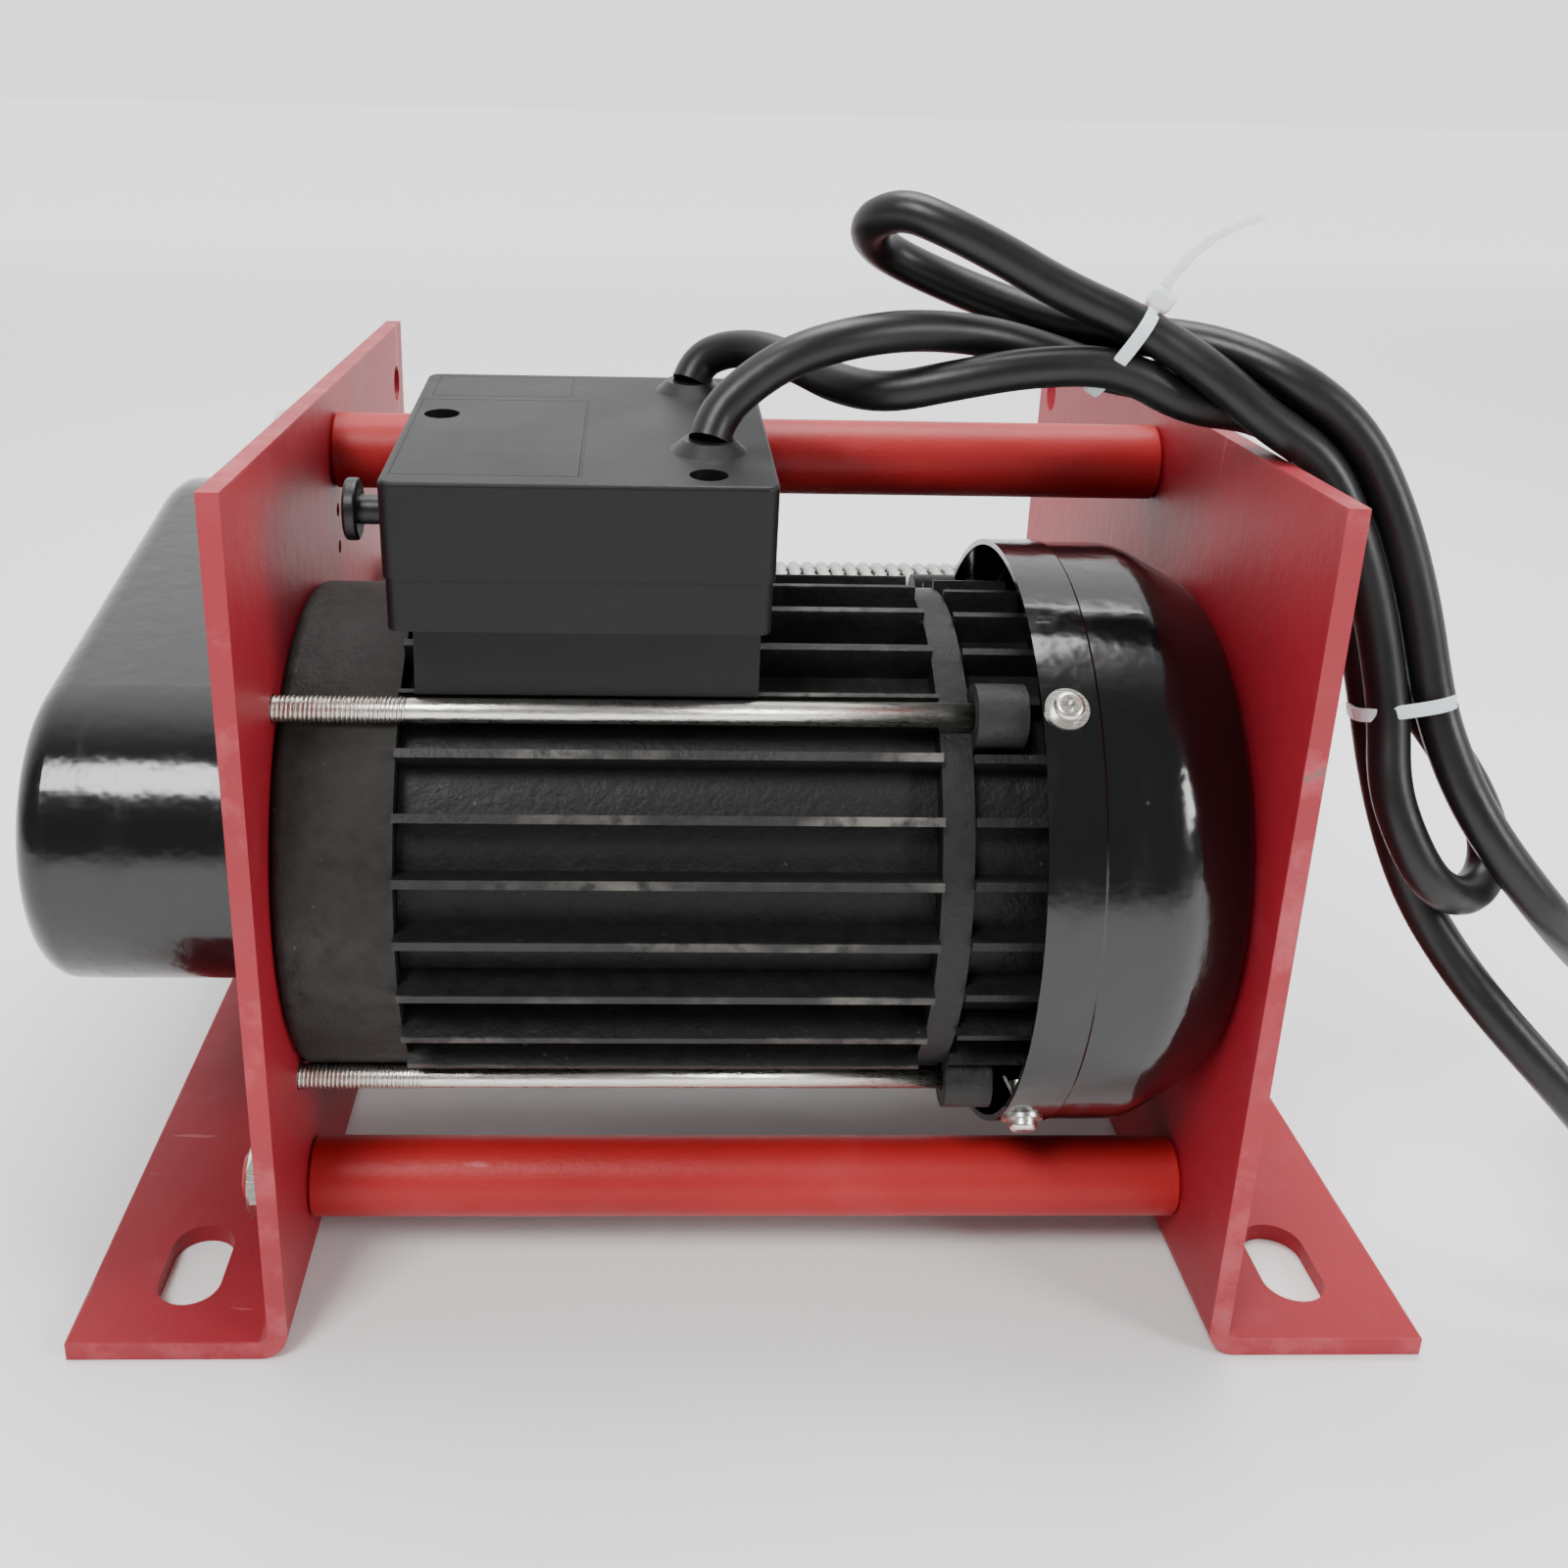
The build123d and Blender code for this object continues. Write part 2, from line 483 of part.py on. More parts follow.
def drum_parts():
    """The rope drum, its shaft, bushes, the wound rope and the rope clamp."""
    drum = tube_x(DRUM_R, DRUM_BORE_R, -DRUM_HALF, DRUM_HALF, DRUM_Y, AXIS_Z)
    for x in (-DRUM_HALF, DRUM_HALF - 4):
        drum += tube_x(36.3, DRUM_SHAFT_R, x, x + 4, DRUM_Y, AXIS_Z)
    shaft = cyl_x(DRUM_SHAFT_R, SLOW_PLANE_X - 3, PLATE_OUT + 2, DRUM_Y, AXIS_Z)
    bushes = []
    for side in (-1, 1):
        x0, x1 = sorted((side * (HALF_GAP - 2.5), side * PLATE_OUT))
        bush = tube_x(DRUM_SHAFT_R + 3.0, DRUM_SHAFT_R + RUN_GAP, x0, x1, DRUM_Y, AXIS_Z)
        f0, f1 = sorted((side * (HALF_GAP - 2.5), side * HALF_GAP))
        bushes.append(bush + tube_x(17.0, DRUM_SHAFT_R + RUN_GAP, f0, f1, DRUM_Y, AXIS_Z))
    start = -ROPE_TURNS * ROPE_PITCH / 2
    points = [Line((start, DRUM_R), (start, DRUM_R + ROPE_R))]
    for i in range(ROPE_TURNS):
        x = start + i * ROPE_PITCH
        points.append(ThreePointArc((x, DRUM_R + ROPE_R), (x + ROPE_PITCH / 2, DRUM_R + 2 * ROPE_R),
                                    (x + ROPE_PITCH, DRUM_R + ROPE_R)))
    points.append(Line((-start, DRUM_R + ROPE_R), (-start, DRUM_R)))
    points.append(Line((-start, DRUM_R), (start, DRUM_R)))
    rope = Pos(0, DRUM_Y, AXIS_Z) * revolve(Plane.XY * make_face(Curve() + points), Axis.X)
    clamp = box_between((97.0, 99.0), (-5, 5), (DRUM_R, 35.6)) + box_between(
        (97.0, 99.0), (-3, 3), (DRUM_R - 2.0, DRUM_R))
    return {"rope_drum": drum, "drum_shaft": shaft, "drum_bushes": bushes, "wire_rope": rope,
            "rope_clamp": Pos(0, DRUM_Y, AXIS_Z) * clamp}


def neck_block():
    """The terminal neck's envelope, from inside the motor to under the box."""
    return box_between((-76.5, -2.0), (-89.5, -20.0), (103.0, 178.0))


def box_floor_tool():
    """Everything above the control box's underside."""
    return BOX_PLACE * box_between((-80, 80), (-60, 160), (-BOX_LID_H - BOX_BASE_H, 60))


def terminal_neck():
    """The hollow neck between the motor and the control box."""
    neck = neck_block() - cyl_x(STATOR_FIN_R + 0.1, -90, 10, MOTOR_Y, AXIS_Z) - box_floor_tool()
    for y, z in bolt_places():
        neck -= cyl_x(THROUGH_BOLT_R + 0.5, -90, 10, y, z)
    hollow = box_between((-72.5, -6.0), (-85.5, -24.0), (103.0, 190.0))
    return neck - hollow


def rounded_block(x, y, z, side_r, top_r=0.0):
    """A block with rounded upright edges and, if asked, a rounded top rim."""
    block = box_between(x, y, z)
    block = fillet(block.edges().filter_by(Axis.Z), side_r)
    if top_r:
        block = fillet(block.edges().group_by(Axis.Z)[-1], top_r)
    return block


def control_box():
    """The box's lid and base, with their screws, grommets and inner parts."""
    half = BOX_W / 2
    deep = -BOX_LID_H
    floor = deep - BOX_BASE_H
    lid = rounded_block((-half, half), (0, BOX_D), (deep, 0), 3.0, 1.0)
    lid -= rounded_block((-half + BOX_WALL, half - BOX_WALL), (BOX_WALL, BOX_D - BOX_WALL),
                         (deep - 1, -BOX_WALL), 1.5)
    base = rounded_block((-half + 0.5, half - 0.5), (0.5, BOX_D - 0.5), (floor, deep), 2.6)
    base -= rounded_block((-half + BOX_WALL, half - BOX_WALL), (BOX_WALL, BOX_D - BOX_WALL),
                          (floor + BOX_WALL, deep + 1), 1.5)
    base -= box_between((-25, 25), (25, 75), (floor - 1, floor + 3))
    screws = []
    for x, y in BOX_SCREWS:
        boss = Pos(x, y, (floor + BOX_WALL) / 2) * Cylinder(5.2, -floor - BOX_WALL)
        lid += boss & box_between((-half + 1, half - 1), (1, BOX_D - 1), (deep, -1))
        base += boss & box_between((-half + 1, half - 1), (1, BOX_D - 1), (floor, deep))
        lid -= Pos(x, y, -7) * Cylinder(4.0, 14.1) + Pos(x, y, -18) * Cylinder(1.8, 12)
        base -= Pos(x, y, deep - 4) * Cylinder(1.8, 8.2)
        screws.append(Pos(x, y, -14) * pan_screw(3.4, 2.4, 1.7, 12.0))
    for x, y in GROMMETS:
        lid -= Pos(x, y, -2) * Cylinder(6.0, 6)
    lid -= Pos(-half, *PLUNGER_YZ) * Cylinder(3.2, 8, rotation=(0, 90, 0))
    place = BOX_PLACE
    capacitor = Pos(-6, 78, floor + 3 + 9) * Cylinder(8.5, 46, rotation=(0, 90, 0))
    terminals = box_between((-12, 14), (36, 58), (floor + 3, floor + 15))
    terminals -= Pos(1, 47, floor + 15) * Box(22, 6, 6)
    switch = box_between((-half + 8.3, -half + 24), (10, 28), (-18, -6))
    switch -= Pos(-half + 10.5, *PLUNGER_YZ) * Cylinder(3.4, 6.4, rotation=(0, 90, 0))
    return {"control_box_lid": place * lid, "control_box_base": place * base,
            "control_box_screws": [place * s for s in screws],
            "cable_grommets": [place * g for g in grommets()],
            "limit_plunger": place * limit_plunger(half),
            "run_capacitor": place * capacitor, "terminal_block": place * terminals,
            "limit_switch": place * switch}


def grommets():
    """Two rubber cable glands in the lid."""
    glands = []
    for x, y in GROMMETS:
        dome = Pos(x, y, 0) * Cone(8.2, 5.6, 2.4, align=(Align.CENTER, Align.CENTER, Align.MIN))
        neck = Pos(x, y, -2.5) * Cylinder(6.0, 5.0)
        glands.append(dome + neck)
    return glands


def limit_plunger(half):
    """The rubber-capped limit button on the box's left side."""
    y, z = PLUNGER_YZ
    stem = Pos(-half - 1.0, y, z) * Cylinder(3.16, 18.0, rotation=(0, 90, 0))
    cap = Pos(-half - 8.0, y, z) * Cylinder(6.6, 3.0, rotation=(0, 90, 0))
    return stem + fillet(cap.edges(), 0.8)


def route_radii(points):
    """The largest arc for each corner: 0.45 of its shorter run over tan(half the turn)."""
    radii = []
    for before, at, after in zip(points, points[1:], points[2:]):
        into, out = Vector(at) - Vector(before), Vector(after) - Vector(at)
        turn = math.radians(into.get_angle(out))
        radii.append(0.45 * min(into.length, out.length) / math.tan(turn / 2))
    return radii


def cord_tube(name, points):
    """A round cord along straight runs and tangent arcs."""
    radii = route_radii(points)
    path = FilletPolyline(*points, radius=radii)
    start = Plane(origin=points[0], z_dir=Vector(points[1]) - Vector(points[0]))
    tube = sweep(start * Circle(CORD_R), path=path)
    expected = math.pi * CORD_R ** 2 * path.length
    print(name, "length", round(path.length), "volume ratio", round(tube.volume / expected, 4),
          "radii", [round(r) for r in radii])
    return tube


def coil(centre):
    """The outer shape of a tied coil of cord, lying on the floor."""
    return Pos(centre[0], centre[1], COIL_R) * Torus(COIL_MEAN_R, COIL_R)


def band(centre, direction, across, half, width=4.6, thick=1.3):
    """A closed rectangular tie band around a bundle."""
    plane = Plane(origin=centre, x_dir=across, z_dir=direction)
    ring = Box(2 * (half + thick), 2 * (half + thick), width) - Box(2 * half, 2 * half, width + 1)
    head = Pos(0, half + thick + 2.4, 0) * Box(7.0, 4.8, 6.0)
    return plane.location * (ring + head)


def cable_ties():
    """Two ties around the four-strand bundle and two around the coils."""
    bundle = [band((77.9, -62.2, 225.0), (14, -3, -11), (1, 5, 0), 10.4),
              band((141.0, -88.4, 152.0), (5, -6, -22), (5, 1, 1), 10.4)]
    coils = [Pos(x, y + COIL_MEAN_R, COIL_R) * (Box(4.6, 2 * COIL_R + 3.0, 2 * COIL_R)
                                               - Box(5.6, 2 * COIL_R + 0.4, 2 * COIL_R + 1))
             for x, y in (MAINS_COIL_AT, CONTROL_COIL_AT)]
    return {"bundle_ties": bundle, "coil_ties": coils}


def mains_plug():
    """A round two-pin plug with its strain relief; its cord enters at high Y."""
    body = Rot(-90, 0, 0) * Cone(9.0, 17.0, 34.0, align=(Align.CENTER, Align.CENTER, Align.MIN))
    face = Pos(0, 34, 0) * Rot(-90, 0, 0) * Cylinder(13.9, 6.0, align=(Align.CENTER, Align.CENTER, Align.MIN))
    body = body & box_between((-20, 20), (0, 34), (-13.9, 13.9))
    pins = [Pos(x, 40, 0) * Rot(-90, 0, 0) * Cylinder(2.4, 19.0, align=(Align.CENTER, Align.CENTER, Align.MIN))
            for x in (-9.5, 9.5)]
    place = Pos(*PLUG_AT) * Rot(0, 0, 180)
    return {"mains_plug": place * (body + face), "plug_pins": [place * p for p in pins]}


def pendant():
    """The handset: two half shells, two buttons, a stop button and a strain relief."""
    x, y, z = PENDANT_AT
    low, high = -z, PENDANT_H - z
    half = PENDANT_W / 2
    upper = rounded_block((-half, half), (4, PENDANT_L), (0, high), 9.0, 3.0)
    lower = rounded_block((-half, half), (4, PENDANT_L), (low, 0), 9.0)
    lower = fillet(lower.edges().group_by(Axis.Z)[0], 3.0)
    inside = rounded_block((-half + 3, half - 3), (7, PENDANT_L - 3), (low + 3, high - 3), 6.0)
    upper -= inside
    lower -= inside
    gland = Rot(-90, 0, 0) * Cylinder(6.8, 14.0, align=(Align.CENTER, Align.CENTER, Align.MIN))
    entry = Rot(-90, 0, 0) * Cylinder(6.8, 30.0, align=(Align.CENTER, Align.CENTER, Align.MIN))
    upper -= entry
    lower -= entry
    place = Pos(x, y, z) * Rot(0, 0, 180)
    buttons = {}
    for name, along, radius, rise in (("up_button", BUTTON_Y[0], BUTTON_R, 5.0),
                                      ("down_button", BUTTON_Y[1], BUTTON_R, 5.0)):
        upper -= Pos(0, along, high) * Cylinder(radius + 0.3, 12)
        cap = Pos(0, along, high) * Cylinder(radius, 2 * rise)
        buttons[name] = place * fillet(cap.edges().group_by(Axis.Z)[-1], 1.2)
    upper -= Pos(0, STOP_Y, high) * Cylinder(5.3, 12)
    stop = Pos(0, STOP_Y, high + 3) * Cylinder(5.0, 16) + fillet(
        (Pos(0, STOP_Y, high + 9) * Cylinder(STOP_R, 5)).edges().group_by(Axis.Z)[-1], 2.0)
    screws = [Pos(sx * 17.0, sy, low) * Rot(180, 0, 0) * Cylinder(1.5, 1.2, align=(
        Align.CENTER, Align.CENTER, Align.MAX)) for sx in (-1, 1) for sy in (20.0, PENDANT_L - 18.0)]
    for sx in (-1, 1):
        for sy in (20.0, PENDANT_L - 18.0):
            lower -= Pos(sx * 17.0, sy, low) * Cylinder(1.5, 2.4)
    return {"pendant_front_shell": place * upper, "pendant_back_shell": place * lower,
            "emergency_stop": place * stop, "pendant_gland": place * gland,
            "pendant_screws": [place * s for s in screws], **buttons}


def all_parts():
    """Every sub-part by its node name."""
    parts = {"left_side_plate": side_plate(-1), "right_side_plate": side_plate(1),
             "tie_rod_nuts": tie_rod_nuts(), "drive_end_cover": drive_end_cover(),
             "stator_housing": stator_housing(), "fan_end_bracket": fan_end_bracket(),
             "fan_cover": fan_cover(), "fan_cover_screws": fan_cover_screws(),
             "motor_through_bolts": motor_through_bolts(), "motor_shaft": motor_shaft(),
             "layshaft": layshaft(), "layshaft_bushes": layshaft_bushes(),
             "gearbox_bearing_plate": gearbox_bearing_plate(), "gearbox_posts": gearbox_posts(),
             "gear_cover": gear_cover(), "gear_cover_screws": gear_cover_screws(),
             "terminal_neck": terminal_neck()}
    for name, (y, z) in ROD_PLACES.items():
        parts[name] = tie_rod(y, z)
    for group in (gear_train(), motor_insides(), drum_parts(), control_box(), cable_ties(),
                  mains_plug(), pendant()):
        parts.update(group)
    parts["mains_lead"] = cord_tube("mains_lead", MAINS_ROUTE)
    parts["mains_lead_tail"] = cord_tube("mains_lead_tail", MAINS_TAIL)
    parts["mains_lead_coil"] = coil(MAINS_COIL_AT)
    parts["control_cable"] = cord_tube("control_cable", CONTROL_ROUTE)
    parts["control_cable_tail"] = cord_tube("control_cable_tail", CONTROL_TAIL)
    parts["control_cable_coil"] = coil(CONTROL_COIL_AT)
    return parts


os.makedirs("parts", exist_ok=True)
for name, shape in all_parts().items():
    if isinstance(shape, list):
        shape = Compound(children=shape)
    export_step(shape, f"parts/{name}.step")
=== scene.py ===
"""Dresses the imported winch: camera, studio, cords, ties, rope, threads and finishes."""
import json
import logging
import math
from dataclasses import dataclass, field
from enum import Enum

import bpy
from mathutils import Matrix, Vector


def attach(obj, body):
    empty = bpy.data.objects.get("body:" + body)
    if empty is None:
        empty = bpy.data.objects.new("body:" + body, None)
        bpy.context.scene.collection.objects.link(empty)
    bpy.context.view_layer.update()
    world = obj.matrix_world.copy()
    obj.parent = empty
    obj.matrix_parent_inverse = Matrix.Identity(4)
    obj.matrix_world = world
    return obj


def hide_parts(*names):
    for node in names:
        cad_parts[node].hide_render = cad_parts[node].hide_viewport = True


LOG = logging.getLogger("winch")
Point = tuple[float, float, float]

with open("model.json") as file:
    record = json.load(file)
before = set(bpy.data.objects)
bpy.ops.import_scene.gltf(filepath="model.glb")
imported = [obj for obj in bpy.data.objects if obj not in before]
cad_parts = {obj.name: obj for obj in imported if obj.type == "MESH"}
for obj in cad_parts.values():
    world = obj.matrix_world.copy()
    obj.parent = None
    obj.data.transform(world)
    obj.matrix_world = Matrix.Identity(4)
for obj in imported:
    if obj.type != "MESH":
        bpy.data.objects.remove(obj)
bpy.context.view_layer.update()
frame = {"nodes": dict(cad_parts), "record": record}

MOTOR_AXIS = (-0.0487, 0.103)
DRUM_AXIS = (0.0613, 0.103)
COILS_AT = ((295.0, -68.0), (372.0, 66.0))
BARE_METAL = (0.33, 0.31, 0.28)
# Pale paint for the plates' edges: partly a painted highlight, partly paint wear.
EDGE_HIGHLIGHT_AND_WEAR_PAINT = (0.55, 0.12, 0.14)
SCRATCHED_PAINT = (0.55, 0.16, 0.17)
CHIPPED_EDGE = (0.13, 0.10, 0.09)


class Sock:
    """A shader value with operators, each of which adds a Math node."""

    def __init__(self, tree: bpy.types.NodeTree, link: bpy.types.NodeSocket) -> None:
        """Wraps one output socket of a node tree."""
        self.tree = tree
        self.link = link

    def _math(self, kind: str, first: "Sock | float", second: "Sock | float" = 0.0,
              clamp: bool = False) -> "Sock":
        """Adds one Math node.

        Args:
            kind: The Math node's operation.
            first: The first operand.
            second: The second operand.
            clamp: Whether the result is kept between 0 and 1.

        Returns:
            The node's result.
        """
        node = self.tree.nodes.new("ShaderNodeMath")
        node.operation = kind
        node.use_clamp = clamp
        for socket, value in zip(node.inputs, (first, second)):
            if isinstance(value, Sock):
                self.tree.links.new(value.link, socket)
            else:
                socket.default_value = value
        return Sock(self.tree, node.outputs[0])

    def __add__(self, other: "Sock | float") -> "Sock":
        """The sum."""
        return self._math("ADD", self, other)

    __radd__ = __add__

    def __sub__(self, other: "Sock | float") -> "Sock":
        """The difference."""
        return self._math("SUBTRACT", self, other)

    def __rsub__(self, other: float) -> "Sock":
        """The difference from a number."""
        return self._math("SUBTRACT", other, self)

    def __mul__(self, other: "Sock | float") -> "Sock":
        """The product."""
        return self._math("MULTIPLY", self, other)

    __rmul__ = __mul__

    def __abs__(self) -> "Sock":
        """The absolute value."""
        return self._math("ABSOLUTE", self)

    def above(self, edge: float, soft: float) -> "Sock":
        """A soft step: 0 below edge, 1 at edge + soft."""
        return self._math("MULTIPLY", self - edge, 1.0 / soft, clamp=True)

    def below(self, edge: float, soft: float) -> "Sock":
        """A soft step: 1 below edge - soft, 0 at edge."""
        return 1.0 - self.above(edge - soft, soft)

    def either(self, other: "Sock") -> "Sock":
        """The larger of two masks."""
        return self._math("MAXIMUM", self, other)

    def root(self) -> "Sock":
        """The square root."""
        return self._math("SQRT", self)


class Surface:
    """One material under construction, with its Principled shader."""

    def __init__(self, name: str) -> None:
        """Starts an empty material of that name."""
        self.material = bpy.data.materials.new(name)
        self.material.use_nodes = True
        self.tree = self.material.node_tree
        self.shader = self.tree.nodes["Principled BSDF"]
        self.coords = self.node("ShaderNodeTexCoord").outputs["Object"]

    def node(self, kind: str, settings: dict | None = None,
             values: dict | None = None) -> bpy.types.Node:
        """Adds a node.

        Args:
            kind: The node's type.
            settings: Attributes that are set first.
            values: Socket values or links by socket name.

        Returns:
            The new node.
        """
        node = self.tree.nodes.new(kind)
        for key, value in (settings or {}).items():
            setattr(node, key, value)
        for key, value in (values or {}).items():
            socket = node.inputs[key]
            if isinstance(value, Sock):
                self.tree.links.new(value.link, socket)
            elif isinstance(value, bpy.types.NodeSocket):
                self.tree.links.new(value, socket)
            else:
                socket.default_value = value
        return node

    def axis(self) -> tuple[Sock, Sock, Sock]:
        """The object coordinates as three values."""
        split = self.node("ShaderNodeSeparateXYZ", values={"Vector": self.coords})
        return tuple(Sock(self.tree, split.outputs[i]) for i in range(3))

    def radius(self, centre: tuple[float, float]) -> Sock:
        """The distance from an axis along X through (y, z)."""
        _, y, z = self.axis()
        dy, dz = y - centre[0], z - centre[1]
        return (dy * dy + dz * dz).root()

    def noise(self, scale: float, detail: float = 4.0, stretch: Point = (1, 1, 1),
              roughness: float = 0.55) -> Sock:
        """Noise over the object's own coordinates.

        Args:
            scale: How fine it is.
            detail: How many octaves it has.
            stretch: How much each axis is squeezed.
            roughness: How strong the fine octaves are.

        Returns:
            A value around one half.
        """
        mapped = self.node("ShaderNodeMapping", values={"Vector": self.coords, "Scale": stretch})
        made = self.node("ShaderNodeTexNoise", values={
            "Vector": mapped.outputs[0], "Scale": scale, "Detail": detail, "Roughness": roughness})
        return Sock(self.tree, made.outputs["Fac"])

    def mix(self, mask: Sock, low: "tuple | bpy.types.NodeSocket",
            high: "tuple | bpy.types.NodeSocket") -> bpy.types.NodeSocket:
        """Blends two colours by a mask.

        Args:
            mask: 0 for the first colour and 1 for the second.
            low: The first colour.
            high: The second colour.

        Returns:
            The blended colour.
        """
        node = self.node("ShaderNodeMix", {"data_type": "RGBA"})
        self.tree.links.new(mask.link, node.inputs[0])
        for socket, value in ((node.inputs[6], low), (node.inputs[7], high)):
            if isinstance(value, bpy.types.NodeSocket):
                self.tree.links.new(value, socket)
            else:
                socket.default_value = (*value[:3], 1.0)
        return node.outputs[2]

    def put(self, socket: str, value: "Sock | bpy.types.NodeSocket | float | tuple") -> None:
        """Feeds one socket of the shader.

        Args:
            socket: The socket's name.
            value: A link, a number or a colour.
        """
        target = self.shader.inputs[socket]
        if isinstance(value, Sock):
            self.tree.links.new(value.link, target)
        elif isinstance(value, bpy.types.NodeSocket):
            self.tree.links.new(value, target)
        elif isinstance(value, tuple):
            target.default_value = (*value, 1.0)
        else:
            target.default_value = value

    def bump(self, height: Sock, distance: float, strength: float = 1.0) -> None:
        """Raises the surface by a height value.

        Args:
            height: The height's pattern.
            distance: Its full height, in metres.
            strength: How much of it shows.
        """
        node = self.node("ShaderNodeBump", values={
            "Height": height, "Distance": distance, "Strength": strength})
        self.put("Normal", node.outputs["Normal"])


@dataclass(frozen=True)
class PlatePaint:
    """Crimson paint on the plates and rods, paler and chipped at the edges; the paler band is partly a
    painted highlight and partly rubbed paint.

    Args:
        name: The material's name.
        base: The paint's colour.
        rough: The paint's roughness.
        edges: Whether the plates' edges get the painted highlight, the paint wear and the chips.
        rim: Where the foot's end, the front and back edges and the top edge start.
    """

    name: str
    base: Point
    rough: float = 0.42
    edges: bool = True
    rim: Point = (0.1571, 0.1199, 0.2032)

    def build(self) -> bpy.types.Material:
        """Makes the material.

        Returns:
            The finished material.
        """
        s = Surface(self.name)
        x, y, z = s.axis()
        cloud = s.noise(9.0, 5.0)
        fine = s.noise(900.0, 2.0)
        dark = tuple(c * 0.72 for c in self.base)
        colour = s.mix(cloud.above(0.35, 0.35), dark, self.base)
        dust = s.noise(60.0, 6.0).above(0.56, 0.25) * 0.14
        colour = s.mix(dust, colour, (self.base[0] * 1.15, 0.12, 0.14))
        scratch = s.noise(22.0, 3.0, (1.0, 6.0, 0.25), 0.7).above(0.68, 0.03)
        colour = s.mix(scratch * 0.35, colour, SCRATCHED_PAINT)
        if self.edges:
            foot_end, side, top = self.rim
            rim = z.above(top, 0.0006).either(abs(y).above(side, 0.0004)).either(
                abs(x).above(foot_end, 0.0005))
            edge_wear_and_highlight = s.noise(55.0, 6.0, (1.0, 1.0, 1.0), 0.7)
            # Painted highlight along the plates' edges, made stronger where the noise shows paint wear; the
            # dark chips after it are real wear.
            colour = s.mix(rim * (0.12 + 0.45 * edge_wear_and_highlight.above(0.5, 0.2)), colour, EDGE_HIGHLIGHT_AND_WEAR_PAINT)
            chip = rim * edge_wear_and_highlight.above(0.66, 0.03)
            colour = s.mix(chip * 0.8, colour, CHIPPED_EDGE)
        s.put("Base Color", colour)
        s.put("Roughness", self.rough + 0.18 * cloud - 0.05 * scratch)
        s.put("Specular IOR Level", 0.32)
        s.bump(fine * 0.35 + s.noise(160.0, 3.0), 0.00018)
        return s.material


@dataclass(frozen=True)
class CastBlack:
    """Black paint over cast metal, rubbed bare on the outer edges.

    Args:
        name: The material's name.
        base: The paint's colour.
        rub_radius: Metal shows beyond this distance from the motor's axis.
        rub: How much metal shows there.
        rough: The paint's roughness.
        gloss: Strength of the paint's reflections.
    """

    name: str
    base: Point = (0.005, 0.005, 0.005)
    rub_radius: float = 0.0625
    rub: float = 0.55
    rough: float = 0.4
    gloss: float = 0.32

    def build(self) -> bpy.types.Material:
        """Makes the material.

        Returns:
            The finished material.
        """
        s = Surface(self.name)
        outer = s.radius(MOTOR_AXIS).above(self.rub_radius, 0.0004)
        grit = s.noise(240.0, 6.0)
        patch = s.noise(45.0, 4.0, (0.5, 1.0, 1.0))
        rubbed = outer * (0.06 * grit + self.rub * patch.above(0.5, 0.25) * grit.above(0.35, 0.2))
        specks = s.noise(420.0, 3.0).above(0.72, 0.03) * 0.3
        bare = rubbed.either(specks * patch)
        warm = tuple(c * 2.2 + 0.003 for c in self.base)
        s.put("Base Color", s.mix(bare, s.mix(grit, self.base, warm), BARE_METAL))
        s.put("Specular IOR Level", self.gloss)
        s.put("Metallic", bare * 0.8)
        s.put("Roughness", self.rough + 0.22 * grit - 0.1 * bare)
        s.bump(grit + s.noise(900.0, 2.0) * 0.4, 0.00035)
        return s.material


@dataclass(frozen=True)
class GlossSheet:
    """Gloss black paint on pressed sheet, with light orange peel and hairlines.

    Args:
        name: The material's name.
        scuffs: Strength of the pale scuffs.
    """

    name: str
    scuffs: float = 0.5

    def build(self) -> bpy.types.Material:
        """Makes the material.

        Returns:
            The finished material.
        """
        s = Surface(self.name)
        hair = s.noise(70.0, 8.0, (1.0, 0.12, 1.0), 0.8).above(0.66, 0.03)
        smear = s.noise(30.0, 6.0, (2.5, 1.0, 0.5)).above(0.55, 0.2)
        s.put("Base Color", s.mix(hair * (0.5 * self.scuffs), (0.002, 0.002, 0.0022), (0.2, 0.2, 0.19)))
        s.put("Roughness", 0.16 + 0.22 * smear + 0.3 * hair)
        s.put("Coat Weight", 0.2)
        s.bump(s.noise(140.0, 2.0) + smear * 0.3, 0.00022)
        return s.material


@dataclass(frozen=True)
class Metal:
    """Plain, plated or machined metal.

    Args:
        name: The material's name.
        base: The metal's colour.
        rough: Its roughness.
        grain: Stretch of the machining marks.
    """

    name: str
    base: Point
    rough: float = 0.25
    grain: Point = (1.0, 8.0, 8.0)

    def build(self) -> bpy.types.Material:
        """Makes the material.

        Returns:
            The finished material.
        """
        s = Surface(self.name)
        marks = s.noise(220.0, 4.0, self.grain)
        stain = s.noise(50.0, 5.0).above(0.5, 0.3)
        s.put("Base Color", s.mix(stain * 0.5, self.base, tuple(c * 0.62 for c in self.base)))
        s.put("Metallic", 1.0)
        s.put("Roughness", self.rough + 0.16 * marks + 0.1 * stain)
        s.bump(marks, 0.00008)
        return s.material


